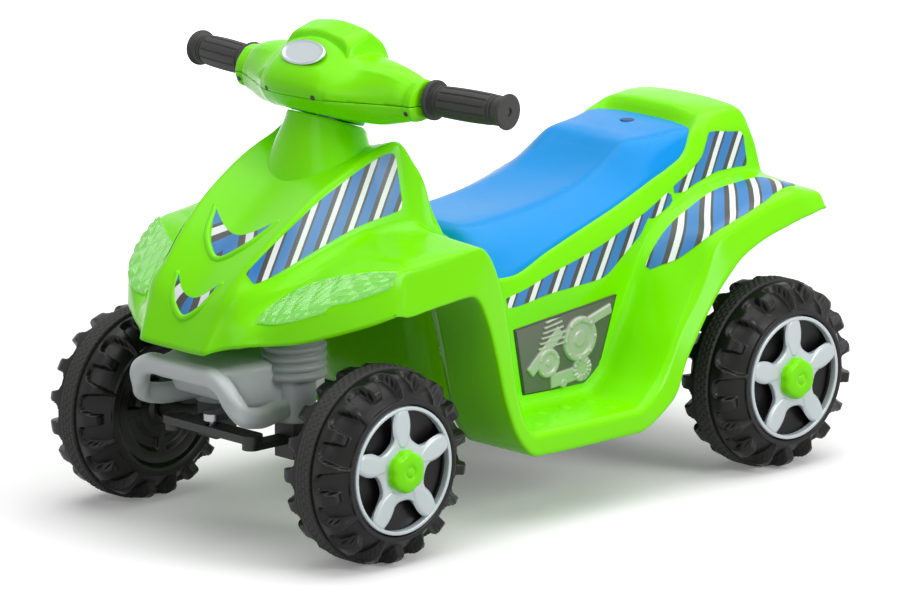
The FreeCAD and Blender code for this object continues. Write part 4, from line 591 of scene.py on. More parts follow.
def leaning_ring(wide, deep, lean, steps):
    """Oval about the origin that leans forwards: (w cos a, d sin a cos l, -d sin a sin l)."""
    a = np.linspace(0, TAU, steps, endpoint=False)
    y, z = deep * np.sin(a) * math.cos(lean), -deep * np.sin(a) * math.sin(lean)
    return np.stack([wide * np.cos(a), y, z], axis=1)


def neck_sheets():
    """Cone from an oval foot in the hood to a raked ring with its lip turned in: rings joined by curves."""
    rows = [leaning_ring(wide, deep, RAKE * share, 96) + np.array((0, y, z))
            for wide, deep, y, z, share in NECK_RINGS]
    return [Sheet(carried(spot(rows), 40, True), around=True, away=spot((0, -154, 310)))]


def collar_sheet():
    """Skirt of the pod over the neck: rings about the steering axis, from above the neck into the pod."""
    rows = [leaning_ring(r, r, RAKE, 72)
            + np.array((0, NECK_Y + h * math.sin(RAKE), NECK_Z + h * math.cos(RAKE)))
            for h, r in COLLAR_RINGS]
    return Sheet(spot(rows), around=True, away=spot((0, -151, 362)))


def oval_sheets(centres, wide, deep, tall):
    """Low domes: z = tall (1 - q^2) over an ellipse."""
    q = np.linspace(0, 1, 7)[:, None]
    a = np.linspace(0, TAU, 20, endpoint=False)[None, :]
    dome = np.stack([wide * q * np.cos(a), deep * q * np.sin(a), tall * (1 - q ** 2) + 0 * a], axis=2) * MM
    below = np.array([0, 0, 0.01])
    return [Sheet(dome + spot(centre), around=True, away=spot(centre) - below) for centre in centres]


def vent_sheets():
    """Raised U-shaped lips of the two hood vents: an oval section carried along an arc from tip to tip."""
    a = np.linspace(0, TAU, 12, endpoint=False)
    section = np.stack([3.2 * np.cos(a), 2.4 * np.sin(a)], axis=1) * MM
    made = []
    for tip, side, low in VENTS:
        right = [(-x, y, z) for x, y, z in (tip, side)]
        route = carried(spot(right + [low, side, tip])[:, None], 40)[:, 0]
        made.append(Sheet(swept(route, section, (0, -0.7, 0.7)), around=True, away=route[20], ends=True))
    return made


# Saddle, a row for each station from front to back: middle, two over the top, shoulder, flank, tucked edge
SEAT_ROWS = (
    ((0, -46, 232), (30, -46, 231), (46, -46, 228), (66, -45, 216), (84, -44, 203), (88, -44, 192)),
    ((0, -41, 241), (30, -41, 240), (46, -40, 238), (67, -39, 224), (89, -38, 201), (89.5, -38, 190)),
    ((0, -34, 245), (30, -34, 244.5), (46, -34, 242.5), (68, -34, 227), (90.3, -34, 201),
     (90, -34, 191)),
    ((0, 0, 246.5), (30, 0, 246.5), (46, 0, 245.5), (68, 0, 232), (89.8, 0, 211), (89, 0, 201)),
    ((0, 40, 249), (30, 40, 249.5), (46, 40, 249.5), (67, 40, 239), (88, 40, 225), (87.3, 40, 215)),
    ((0, 85, 255.5), (30, 85, 256.5), (46, 85, 257), (66, 85, 248.5), (85.5, 85, 237.3),
     (84.7, 85, 227)),
    ((0, 120, 265), (30, 120, 266), (46.5, 120, 267), (65, 120, 258.5), (82.8, 120, 247.3),
     (82, 120, 237)),
    ((0, 140, 274.5), (30, 140, 275.5), (47.5, 140, 277), (65.5, 140, 265.5), (81.2, 140, 253.2),
     (80.5, 140, 243)),
    ((0, 152, 282), (30, 152, 283.5), (49, 152, 285), (66, 152, 271.5), (80.3, 152, 257.4),
     (79.5, 152, 247)),
    ((0, 164, 290), (30, 164, 291), (50, 164, 291.8), (66.5, 164, 277), (79.2, 164, 261.3),
     (78.5, 164, 251)),
    ((0, 174, 293), (30, 174, 293.5), (51.5, 174, 293.2), (66.5, 174, 281), (78.3, 174, 264.7),
     (77.5, 174, 254)),
    ((0, 190, 295), (30, 190, 295), (53, 190, 294), (66, 190, 285.5), (76.6, 190, 269.7),
     (75.8, 190, 259)),
    ((0, 210, 297), (30, 210, 297), (55, 210, 295.5), (65, 210, 290.5), (73.2, 210, 277.5),
     (72.4, 210, 267)),
    ((0, 222, 298), (30, 222, 298), (56, 222, 297), (64, 222, 294), (69.3, 222, 287.5),
     (68.5, 222, 277)),
    ((0, 230, 298.8), (30, 230, 298.8), (55, 230, 297.3), (60, 230, 296), (64, 229, 294),
     (63.3, 229, 283)),
    ((0, 236.5, 299), (30, 236.5, 298.5), (50, 236.5, 296.5), (54.5, 236.5, 295.3), (57.5, 236, 293),
     (57, 236, 282)),
    ((0, 239, 297.5), (30, 239, 297), (47, 239, 295), (51, 239, 293.5), (54, 238.5, 291.5),
     (53.5, 238.5, 281)),
)


def seat_sheets():
    """Saddle: six feature lines from the middle over the shoulder and flank to the tucked edge."""
    trims = np.array([16, 15, 9, 14, 4, 2]) * MM
    rows = whole(carried(spot(SEAT_ROWS), 150, True))
    return [Sheet(rounded(rows, np.concatenate([trims[:0:-1], trims]), 7), away=spot((0, 100, 200)))]


# Wheels


# Tread of one half from the band's edge to the rim, as (axial, radial) in mm: the carcass and the tops of
# the lugs. Then the dishes on the outer and inner face of the wheel.
CARCASS = np.array((
    (8.2, 79.5), (13, 78), (19, 75), (24, 71.5), (27.6, 67.8), (30, 64.6), (31.8, 62), (33, 60)))
LUG_TOPS = np.array((
    (8.2, 83), (14, 83.6), (22, 83.2), (28, 80), (31.7, 75), (33.6, 69.5), (34.6, 64.5), (35, 60.8)))
OUTER_DISH = np.array(((35, 59.5), (34.8, 58), (34, 57), (26, 56.5), (24.5, 55), (24.5, 30), (24.5, 12)))
INNER_DISH = np.array((
    (-35, 59.5), (-35.2, 57), (-34.8, 54), (-34, 52.5), (-31, 51.5), (-30.4, 50), (-30.4, 42), (-30.4, 40),
    (-30.4, 38), (-30.4, 36), (-30.4, 30), (-30.4, 28), (-30.4, 26), (-30.4, 24), (-30.4, 17), (-31.5, 15),
    (-34.4, 14.2), (-35, 13), (-35, 6), (-34, 5.2), (-20, 5.2)))
# Radius in mm at which the width of a lug is measured, and the number and depth of slots in the inner dish
LUG_RADIUS = 80
DISH_SLOTS, SLOT_DEEP = 4, 4
# Rubber band in mm: half its width, ground and edge radius, height, width and number of its blocks
BAND_HALF, BAND_RADIUS, BAND_EDGE = 8, 85.0, 82.6
BLOCK_TALL, BLOCK_WIDE, BLOCK_COUNT = 1.0, 4, 80


def lug_mask(t, s, count):
    """1 on lugs and 0 in the pockets. Every second lug is short, and pockets end round at the band."""
    pitch = TAU / count
    k = np.floor(t / pitch)
    d = abs(t / pitch - k - 0.5) * pitch * LUG_RADIUS
    long = np.mod(k, 2) == 0
    long_half = 5.6 - 3.6 * smooth(0.15, 0.75, s) + 1.6 * smooth(0.85, 1.0, s)
    short_half = 6.4 - 1.6 * smooth(0.2, 0.6, s)
    lug = 1 - smooth(-0.7, 0.7, d - np.where(long, long_half, short_half))
    lug *= np.where(long, 1, 1 - smooth(0.56, 0.62, s))
    pocket = np.clip((14 - d) / 8.4, 0, 1)
    ring = 1 - smooth(-0.02, 0.02, s - 0.14 - 0.12 * (1 - np.sqrt(1 - pocket ** 2)))
    return np.maximum(np.maximum(lug, ring), smooth(0.9, 0.96, s))


def wheel_grid(looks):
    """Moulded wheel about X: carcass + mask (lug tops - carcass) on both treads, and a dish on each face."""
    count, steps = looks.lug_count, looks.lug_count * 26
    t = np.linspace(0, TAU, steps, endpoint=False)[None, :]
    fine = np.linspace(0, 1, 36)
    base, top = (cubic(np.linspace(0, 1, len(line)), line, fine) for line in (CARCASS, LUG_TOPS))
    halves = []
    for side, shift in ((1, 0), (-1, math.pi / count)):
        mask = lug_mask(np.mod(t + shift, TAU), fine[:, None], count)[..., None]
        pair = base[:, None] + mask * (top - base)[:, None]
        halves.append(pair * np.array([side, 1]))
    flat = np.ones((1, steps, 1))
    dish = INNER_DISH[:, None] * flat
    slot = 1 - smooth(0.40, 0.44, abs(np.mod(t / TAU * DISH_SLOTS, 1) - 0.5))
    deep = smooth(26.5, 27.5, dish[..., 1]) * (1 - smooth(38.5, 39.5, dish[..., 1])) * slot
    dish[..., 0] += SLOT_DEEP * deep
    grid = np.concatenate([OUTER_DISH[::-1, None] * flat, halves[0][::-1], halves[1], dish])
    return np.stack([grid[..., 0], grid[..., 1] * np.cos(t), grid[..., 1] * np.sin(t)], axis=2) * MM


def band_grid():
    """Rubber band about X with staggered rows of small blocks: r = ground + height where a block stands."""
    a = np.concatenate([[-BAND_HALF], np.linspace(-BAND_HALF, BAND_HALF, 34), [BAND_HALF]])[:, None]
    t = np.linspace(0, TAU, BLOCK_COUNT * 8, endpoint=False)[None, :]
    row = np.floor((a + BAND_HALF) / BLOCK_WIDE)
    along = np.mod(t * BLOCK_COUNT / TAU + 0.5 * row, 1)
    across = np.mod((a + BAND_HALF) / BLOCK_WIDE, 1)
    block = smooth(0.02, 0.14, along) * (1 - smooth(0.82, 0.94, along))
    block = block * smooth(0.04, 0.2, across) * (1 - smooth(0.8, 0.96, across))
    r = BAND_RADIUS + BLOCK_TALL * block
    r[[0, -1]] = BAND_EDGE
    return np.stack([a + 0 * t, r * np.cos(t), r * np.sin(t)], axis=2) * MM


# Trim in mm: profile of its ring, then inset and height of the star's rolled edge
TRIM_RING = np.array((
    (30, 52.4), (35.2, 52.4), (35.8, 52.7), (36, 53.3), (36, 54.9), (35.8, 55.5), (35, 55.8), (30, 55.8)))
STAR_EDGE = ((6, 35.2), (2.2, 34.9), (1.0, 34.6), (0.3, 34), (0, 33.4), (0, 30))
# Half-width of a spoke, radii of hub, rim and middle hole, and height of the plate
SPOKE_HALF, STAR_HUB, STAR_RIM, STAR_HOLE, STAR_FACE = 7.6, 26, 53.2, 12, 35.4
SPOKE_TURN = math.radians(92)
# Leaf on a spoke: half-width, radius at its foot, length, middle height and rise
LEAF_HALF, LEAF_FOOT, LEAF_LONG, LEAF_FACE, LEAF_RISE = 10.2, 18, 36, 34.9, 2.4


def star_radius(t, count, half, hub, rim):
    """Outline of the spokes: half / sin d beside each spoke, rounded into the hub, no more than the rim."""
    d = abs(np.mod(t / TAU * count + 0.5, 1) - 0.5) * TAU / count
    r = half / np.maximum(np.sin(d), 1e-4)
    r = (r ** 4 + hub ** 4) ** (1 / 4)
    return np.minimum(r, rim)


def trim_sheets(looks):
    """Spoked trim about X: turned ring, star-shaped plate with rolled edges and a leaf on each spoke."""
    ring = turned(TRIM_RING * MM, 180)
    t = np.linspace(0, TAU, 420, endpoint=False)[None, :]
    edge = star_radius(t - SPOKE_TURN, looks.spoke_count, SPOKE_HALF, STAR_HUB, STAR_RIM)
    rows = []
    for r, a in [(STAR_HOLE + 0 * edge, STAR_FACE)] + [(edge - inset, a) for inset, a in STAR_EDGE]:
        rows.append(np.stack([a + 0 * t, r * np.cos(t), r * np.sin(t)], axis=2)[0])
    made = [Sheet(ring[::-1], around=True), Sheet(np.array(rows) * MM, around=True, away=(0, 0, 0))]
    u, w = np.linspace(0, 1, 26)[:, None], np.linspace(-1, 1, 13)[None, :]
    tip = np.sqrt(np.clip(1 - ((u - 0.86) / 0.15).clip(0) ** 2, 0, 1))
    leaf = LEAF_HALF * np.sin(math.pi * 0.8 * u ** 0.9) ** 0.8 * tip
    rise = LEAF_RISE * (1 - abs(w) ** 8) * smooth(0, 0.1, u) * (1 - smooth(0.97, 1.0, u)) - LEAF_RISE / 2
    for k in range(looks.spoke_count):
        angle = k * TAU / looks.spoke_count + SPOKE_TURN
        r, side = LEAF_FOOT + LEAF_LONG * u + 0 * w, leaf * w
        y, z = r * math.cos(angle) - side * math.sin(angle), r * math.sin(angle) + side * math.cos(angle)
        made.append(Sheet(np.stack([LEAF_FACE + rise, y, z], axis=2) * MM, away=(0, 0, 0)))
    return made


def cap_grid(looks):
    """Hub cap about X: soft lobes round the wall, a rolled edge, a ring and a dimple on the face."""
    profile = np.array((
        (31, 19), (33, 19), (36, 18.9), (39.5, 18.6), (41.6, 17.9), (43, 16.6), (43.8, 14.6), (44.2, 11.5),
        (44.4, 9), (44.4, 6.2), (44, 5.6), (43.6, 5.1), (43.6, 4.4), (44, 3.9), (44.4, 3.4), (44.4, 0.01)))

    def flutes(t, a, r):
        depth = 1.1 * np.cos(t * looks.flute_count) ** 4 * smooth(11, 18, r)
        return a, r - depth

    return turned(profile, 240, flutes) * MM


def grip_grid(looks):
    """Rubber grip about X from its inner flange: ribs along a barrelled handle, rings and end flange."""
    a = np.array((
        0, 0.3, 1.2, 3.8, 4.8, 5.2, 6.5, 7.2, 8.4, 9.2, 10.4, 11.2, 12.4, 13.4, 15, 22, 30, 40, 50, 58, 65,
        67, 68, 69.2, 70, 71.2, 72, 73.2, 74, 77.5, 79.2, 80.6, 81.6, 82.6, 83.6, 84, 83.5, 80))
    r = np.array((
        12, 16.6, 17.5, 17.5, 16.6, 13.2, 13.2, 12, 12, 13.2, 13.2, 12, 12, 13.2, 13.6, 13.9, 14.1, 14.2,
        14.1, 13.9, 13.6, 13.2, 12, 12, 13.2, 13.2, 12, 12, 13.2, 13, 13.6, 14.9, 15.6, 15.8, 15.4, 4.5, 3.6,
        3.4))

    def ribs(t, a, r):
        wave = np.cos(t * looks.rib_count)
        cut = (1 - smooth(-0.9, -0.72, wave)) * smooth(13.6, 15.5, a) * (1 - smooth(64.5, 66.5, a))
        return a, r - 1.1 * cut

    knots = np.arange(len(a), dtype=float)
    fine = cubic(knots, np.stack([a, r], axis=1), np.linspace(0, knots[-1], 150), True)
    return turned(fine, looks.rib_count * 20, ribs) * MM


def placed(grid, centre, sign=1, turn=0.0):
    """Turns a grid about X into its place: outwards on either side, swept back by an angle."""
    grid = np.asarray(grid) * np.array([sign, 1, 1])
    c, s = math.cos(turn), math.sin(turn)
    x, y = grid[..., 0] * c - grid[..., 1] * s, grid[..., 0] * s + grid[..., 1] * c
    return np.stack([x, y, grid[..., 2]], axis=2) + np.asarray(centre)


# Bumper and struts


# Strut in mm: radius of its tube, radius of the bellows between the ribs and height of a rib
TUBE_RADIUS, BELLOWS_RADIUS, RIB_TALL = 19, 24.6, 4.0
# Band of the carrying loop in mm: width, height and corner radius
LOOP_BAND = (15, 18, 6)


def upright(profile, centre, steps=72):
    """Profile of (height, radius) pairs turned about a vertical axis."""
    grid = turned(np.asarray(profile, float) * MM, steps)
    return np.stack([grid[..., 1], grid[..., 2], grid[..., 0]], axis=2) + np.asarray(centre)


def bellows_profile(low, high, count):
    """Rounded ribs: r = radius + rib |sin|^0.55 over each pitch."""
    z = np.linspace(0, 1, count * 12 + 1)
    r = BELLOWS_RADIUS + RIB_TALL * abs(np.sin(z * count * math.pi)) ** 0.55
    body = np.stack([low + z * (high - low), r], axis=1)
    return np.concatenate([[(low, TUBE_RADIUS)], body, [(high, TUBE_RADIUS)]])


# Carrying loop from the beam's left end to the middle, and the beam: y, half-width, lowest and highest z
BUMPER_HALF = (
    (50, -240, 120), (57, -268, 119), (63, -296, 119), (64, -312, 124), (60, -320, 136), (53, -323.5, 148),
    (41, -324, 154), (20, -324, 154.5), (0, -324, 154.5))
BUMPER_BEAM = (
    (-326, 38, 148, 159), (-318, 40, 147, 160.5), (-304, 44, 144, 161.5), (-296, 47, 132, 162.5),
    (-290, 50, 124, 163), (-262, 54, 122, 163), (-231, 56, 122, 163), (-208, 54, 124, 162))
BEAM_TRIM = 9 * MM


def bumper_sheets():
    """Carrying loop as a rounded band, and the box beam between the strut tubes that runs out to it."""
    right = [(-x, y, z) for x, y, z in BUMPER_HALF[:-1]]
    route = carried(spot(list(BUMPER_HALF) + right[::-1])[:, None], 150)[:, 0]
    band = Sheet(swept(route, oblong(*LOOP_BAND, 6) * MM, (0, -0.25, 1)), around=True, ends=True)
    rows = [[(x * half, y, z) for x, z in ((-1, low), (1, low), (1, high), (-1, high))]
            for y, half, low, high in BUMPER_BEAM]
    box = rounded(carried(spot(rows), 60, True), BEAM_TRIM, 7, closed=True)
    return [band, Sheet(box, around=True, away=spot((0, -260, 145)), ends=True)]


# Outline of the pod in side view beside its collar, from the front foot over the top to the rear foot
POD_END = ((-15, 364), (-20, 377), (-17, 388), (-10.5, 395), (-7, 398), (-1, 400), (6, 400), (12, 396),
           (16, 388), (14.5, 369), (0, 363.5))
# Handlebar pod: half-width, then the outline there
POD_ROWS = (
    (0, ((-50, 364), (-61, 384), (-54.6, 399.4), (-23.5, 425), (-21, 423.5), (-18.5, 430.5), (5, 437),
          (24, 424), (31, 400), (28, 362), (0, 352))),
    (18, ((-49, 364), (-60, 384), (-53.5, 399), (-24, 422.5), (-21.5, 421), (-19, 428.5), (5, 435.5),
          (24, 422.5), (31, 399), (28, 361), (0, 352))),
    (33, ((-45, 363), (-57, 384), (-49, 399), (-25.5, 416.5), (-23, 415), (-20.5, 425), (5, 432.5),
          (23, 419.5), (30, 397), (27, 361), (0, 352))),
    (38.5, ((-43, 362), (-55, 383), (-45, 398.5), (-27, 411.5), (-24.5, 411), (-20, 420), (5, 429.5),
          (22, 417), (29.5, 396), (26.5, 361), (0, 352))),
    (41.5, ((-42, 362), (-54, 382.5), (-43.5, 397.5), (-28, 408.5), (-24, 410), (-15, 412.5), (5, 413.5),
          (19, 409), (29, 394), (26, 361), (0, 352))),
    (52, ((-36, 361), (-47, 381), (-37, 396), (-25, 405), (-20, 407.5), (-11, 410.5), (5, 411.5),
          (18, 406.5), (27, 392), (24, 362), (0, 354))),
    (70, ((-27, 358.5), (-36, 378), (-30.5, 393), (-22, 404), (-17, 407), (-8, 409.5), (5, 409.5),
          (15, 404), (22, 391), (20, 362), (0, 354.5))),
    (88, ((-20, 361), (-26.5, 377), (-23, 391), (-16.5, 401), (-12, 404), (-4, 406), (6, 405.5), (13, 400),
          (18, 389), (16, 365), (0, 358.5))),
    (102, POD_END),
    (103.5, ((-14, 365), (-18.8, 377), (-16, 387.4), (-9.8, 394.2), (-6.5, 397), (-1, 398.8), (5.7, 398.8),
          (11.3, 395), (15, 387.5), (13.6, 370), (0, 364.7))),
    (105, POD_END),
    (111, ((-14.4, 364.5), (-19.3, 377), (-16.4, 387.7), (-10.1, 394.6), (-6.8, 397.5), (-1, 399.4),
          (5.8, 399.4), (11.7, 395.5), (15.5, 387.7), (14, 369.5), (0, 364))),
    (112.5, ((-10, 368), (-14, 377.5), (-12, 385.5), (-7.5, 391), (-5, 393.5), (-1, 395), (4.5, 395),
          (8.5, 392.5), (11.5, 386.5), (10.5, 372.5), (0, 368.5))),
)
POD_TRIMS = np.array([14, 14, 10, 1.5, 1.2, 5, 5, 8, 14, 12, 14]) * MM


def bar_line():
    """y of the bar's axis on the middle plane, in mm from mid-wheelbase."""
    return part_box("handlebar_tube")[0].y / MM + BAR_RADIUS - MID[1] / MM


def pod_grid():
    """Fairing from collar to collar: side-view outlines with rounded corners, carried across the bar."""
    bar = bar_line()
    rows = [[(x, y + bar, z) for y, z in points] for x, points in POD_ROWS]
    rows = [[(-x, y, z) for x, y, z in row] for row in rows[:0:-1]] + rows
    return rounded(carried(spot(rows), 190, True), POD_TRIMS, 6, closed=True)


def cut_mesh(mesh, point, normal):
    """Keeps the part of a mesh on the normal's side of a plane."""
    work = bmesh.new()
    work.from_mesh(mesh)
    everything = work.verts[:] + work.edges[:] + work.faces[:]
    bmesh.ops.bisect_plane(work, geom=everything, plane_co=point, plane_no=normal, clear_inner=True)
    work.to_mesh(mesh)
    work.free()
    mesh.polygons.foreach_set("use_smooth", np.ones(len(mesh.polygons), bool))
    return mesh


# Motor panel


# Middles of the motor's clutch cover, toothed cover and generator cover, as y and z in mm
CLUTCH, TOOTHED, GENERATOR = (54, 138), (58, 110), (16, 122)
# Straight parts of the motor: both ends as y and z, half-width and height in mm
MOTOR_BARS = ((-6, 116, 30, 150, 6, 2.0), (58, 150, 92, 160, 5, 2.6), (20, 104, 66, 108, 7, 1.8))
# Bolts of a cover: its middle, their number, ring radius, first angle, radius and height in mm
BOLTS = ((CLUTCH, 8, 18, 0, 2.2, 4.0), (GENERATOR, 5, 11.5, 0.3, 1.7, 3.7))


def panel_relief(y, z):
    """Height of the moulded motor over its panel, in mm: covers with rims, ribs, fins and bolt heads."""
    h = np.zeros_like(y)

    def disc(cy, cz, radius, tall, edge=1.6):
        """A round boss with a soft edge."""
        return tall * (1 - smooth(radius - edge, radius, np.hypot(y - cy, z - cz)))

    def bar(y0, z0, y1, z1, half, tall):
        """A straight rib between two points."""
        long = math.hypot(y1 - y0, z1 - z0)
        u = ((y - y0) * (y1 - y0) + (z - z0) * (z1 - z0)) / long
        v = abs((y - y0) * (z1 - z0) - (z - z0) * (y1 - y0)) / long
        ends = smooth(-1, 1, u) * (1 - smooth(long - 1, long + 1, u))
        return tall * (1 - smooth(half - 1, half, v)) * ends

    for k in range(6):
        h = np.maximum(h, bar(4 + 1.5 * k, 136 + 4.6 * k, 40 - 2 * k, 138 + 4.9 * k, 1.5, 2.2))
    for ends in MOTOR_BARS:
        h = np.maximum(h, bar(*ends))
    h = np.maximum(h, disc(*CLUTCH, 21, 3.2)) - 1.4 * disc(*CLUTCH, 15.5, 1) + 1.0 * disc(*CLUTCH, 8, 1)
    along, up = y - TOOTHED[0], z - TOOTHED[1]
    teeth = 0.5 * (1 + np.sign(np.sin(np.arctan2(up, along) * 14))) * smooth(5, 6, np.hypot(along, up))
    h = np.maximum(h, disc(*TOOTHED, 12.5, 2.4) + teeth * disc(*TOOTHED, 12, 0.9))
    h = np.maximum(h, disc(*GENERATOR, 14, 3.0)) - 1.0 * disc(*GENERATOR, 9.5, 1)
    h += 0.8 * disc(*GENERATOR, 4, 1)
    for (cy, cz), count, ring, first, radius, tall in BOLTS:
        for angle in first + np.arange(count) * TAU / count:
            place = cy + ring * math.cos(angle), cz + ring * math.sin(angle)
            h = np.maximum(h, disc(*place, radius, tall, 0.8))
    return np.maximum(h, disc(36, 100, 5, 2.4))


# Corners of the panel in side view: upper front, upper back, lower back, lower front
PANEL_CORNERS = np.array(((-23.5, 157.5), (98, 169), (76.5, 95), (-10, 98)))


def panel_grid(grow, lift, long=150, wide=96):
    """Panel in the tunnel wall: y and z spread between four corners, x on the leaning wall plus a lift."""
    corners = PANEL_CORNERS.mean(axis=0) + (PANEL_CORNERS - PANEL_CORNERS.mean(axis=0)) * grow
    s, t = np.linspace(0, 1, long)[:, None, None], np.linspace(0, 1, wide)[None, :, None]
    yz = (1 - t) * ((1 - s) * corners[3] + s * corners[2]) + t * ((1 - s) * corners[0] + s * corners[1])
    y, z = yz[..., 0], yz[..., 1]
    x = PANEL_X + (z - PANEL_Z) * PANEL_LEAN + lift
    return x, y, z


def colour(name, description, code):
    """A colour that a user may change, from its sRGB hex code."""
    return bpy.props.FloatVectorProperty(
        name=name, description=description, subtype="COLOR", size=4, default=linear(code))


def number(name, description, default):
    """A count that a user may change."""
    return bpy.props.IntProperty(name=name, description=description, default=default)


def length(name, description, default):
    """A length in metres that a user may change."""
    return bpy.props.FloatProperty(name=name, description=description, unit="LENGTH", default=default)


class QuadLooks(bpy.types.PropertyGroup):
    """Sizes, counts and colours of the dressed quad"""

    green: colour("Body green", "Lime polyethylene", "#80ee00")
    blue: colour("Seat blue", "Blue polyethylene", "#0090e0")
    grey: colour("Bumper grey", "Grey polypropylene", "#c8cfcf")
    strut: colour("Strut grey", "Darker grey of tube and bellows", "#a8afb0")
    black: colour("Wheel black", "Black polypropylene", "#131312")
    rubber: colour("Rubber", "Bands and grips", "#1e1e1d")
    silver: colour("Trim silver", "Wheel trims", "#c3cccf")
    charcoal: colour("Charcoal", "Label ground and panel frame", "#3b3c38")
    ground: colour("Panel ground", "Ground of the motor panel", "#5f635a")
    relief: colour("Relief grey", "Moulded motor panel", "#b0b7a8")
    decal_blue: colour("Label blue", "Bars of the labels", "#2b79bd")
    lens: colour("Lens", "Clear headlight prism", "#c4f29a")
    wall: length("Body wall", "Thickness of the moulded skin", 0.0032)
    pod_wall: length("Pod wall", "Thickness of the handlebar covers", 0.0025)
    frame_wall: length("Frame wall", "Thickness of a motor panel's frame", 0.0015)
    label_lift: length("Label lift", "Height of a label over the skin", 0.0004)
    lug_count: number("Lugs", "Lugs on each side of a tyre", 18)
    spoke_count: number("Spokes", "Spokes of a wheel trim", 5)
    flute_count: number("Flutes", "Half the flutes of a hub cap", 3)
    rib_count: number("Grip ribs", "Ribs round a grip", 12)
    bellows_ribs: number("Bellows ribs", "Ribs of a strut bellows", 5)


MATERIALS = {}
# Bumps of a foot board in mm: half-widths and height, and their places
BUMP_SIZE = (8, 5, 1.8)
BUMP_X, BUMP_Y, BUMP_Z = (122, 149), (-44, -14, 16, 46), 85.8
# Painted shade of the screw hole in the saddle, a low dark disc, in mm: its middle, half-widths and height
SEAT_SCREW, SEAT_HOLE_SHADE = (0, 215, 297.6), (7.2, 7.2, 0.5)


def paint(key):
    """A material of the quad, made once for the whole scene."""
    if not MATERIALS:
        MATERIALS.update(make_materials(bpy.context.scene.quad_looks))
    return MATERIALS[key]


class QUAD_OT_body(bpy.types.Operator):
    """Moulded green body with its neck, tail, vents and tread bumps"""

    bl_idname = "quad.body"
    bl_label = "Body"

    def execute(self, context):
        wall = context.scene.quad_looks.wall
        centres = [(x * side, y, BUMP_Z) for side in (1, -1) for x in BUMP_X for y in BUMP_Y]
        green = paint("green")
        add_piece("body_skin", body_sheets(), green, "chassis", ("body_shell",), wall)
        add_piece("neck", neck_sheets(), green, "chassis", ())
        add_piece("foot_bumps", oval_sheets(centres, *BUMP_SIZE), green, "chassis", ())
        add_piece("hood_vents", vent_sheets(), green, "chassis", ())
        return {"FINISHED"}


# Labels on the left side of the skin: body row, then first and last body column
LABELS = {
    "hood_side": ((2.45, 2.2, 2.8), (2.55, 2.12, 2.88), (3.2, 2.1, 2.88), (5, 2.1, 2.88), (7, 2.1, 2.88),
                  (7.75, 2.12, 2.86), (7.85, 2.2, 2.78)),
    "under_seat": ((14.7, 4.2, 4.8), (15, 4.12, 4.88), (17, 4.12, 4.88), (18.6, 4.12, 4.88),
                   (19.6, 4.12, 4.88), (20.2, 4.12, 4.5)),
    "hip": ((20.2, 4.14, 4.5), (20.5, 4.12, 4.78), (21.4, 4.12, 4.88), (21.7, 4.4, 4.78)),
    "tail_side": ((21.9, 4.14, 4.5), (22.5, 4.12, 4.86), (24, 4.1, 4.88), (26, 4.1, 4.9), (27.7, 4.1, 4.9),
                  (27.9, 4.2, 4.8)),
    "rear_fender": ((19.8, 6.98, 7.45), (20, 6.98, 8.16), (20.5, 6.98, 9.3), (21.2, 6.98, 10.32),
                    (23, 6.98, 10.5), (25, 6.98, 10.32), (27, 7.0, 9.84), (28, 7.5, 9.5),
                    (28.9, 8.5, 8.84)),
}
# Crescents in the hood vents: body row of the tips and of the lowest point, and body column of a tip
VENT_LABELS = (("upper", 4.05, 3.02, 1.4), ("lower", 2.05, 1.12, 1.25))
# Upper edge of a crescent, as a share of its depth
CRESCENT_SHARE = 0.62


def label_grid(edges, long, wide):
    """Body rows and columns of a label whose first and last column run through given points."""
    edges = np.array(edges)
    row = np.linspace(edges[0, 0], edges[-1, 0], long)
    low, high = (cubic(edges[:, 0], edges[:, k], row, True)[:, None] for k in (1, 2))
    share = np.linspace(0, 1, wide)[None, :]
    return row[:, None] + 0 * share, low + (high - low) * share


class QUAD_OT_labels(bpy.types.Operator):
    """Printed labels laid on the body"""

    bl_idname = "quad.labels"
    bl_label = "Labels"

    def execute(self, context):
        lift = context.scene.quad_looks.label_lift
        for name, edges in LABELS.items():
            rows, columns = label_grid(edges, 90, 26)
            for side, sign in SIDES:
                self.lay(f"{side}_{name}_label", on_skin(rows, columns * sign, lift))
        for name, ends, low, half in VENT_LABELS:
            s, t = np.linspace(-1, 1, 61)[:, None], np.linspace(0, 1, 13)[None, :]
            rows = ends + (low - ends) * (1 - s ** 2) * (1 - CRESCENT_SHARE * t)
            self.lay(f"{name}_vent_label", on_skin(rows, half * s + 0 * t, lift))
        return {"FINISHED"}

    def lay(self, name, grid):
        """A label with its print outwards."""
        centre = grid.mean(axis=(0, 1))
        add_piece(name, [Sheet(grid, away=(0, centre[1], centre[2] - 0.1))], paint("decal"), "chassis")


# Headlight lens: body column, then body row of its lower and upper edge
LENS = ((5.45, 1.42, 1.66), (5.6, 1.2, 1.82), (6, 1.06, 1.92), (7, 1.04, 1.96), (8.5, 1.05, 1.95),
        (8.62, 1.16, 1.95), (9.55, 1.1, 1.94), (10.32, 1.14, 1.86), (10.48, 1.3, 1.7))
# Points along and across a lens, points in half a diamond each way, lift of the lens and of a prism in mm
LENS_LONG, LENS_WIDE = 145, 41
DIAMOND_LONG, DIAMOND_WIDE = 9, 8
LENS_LIFT, PRISM = 1.2, 1.8


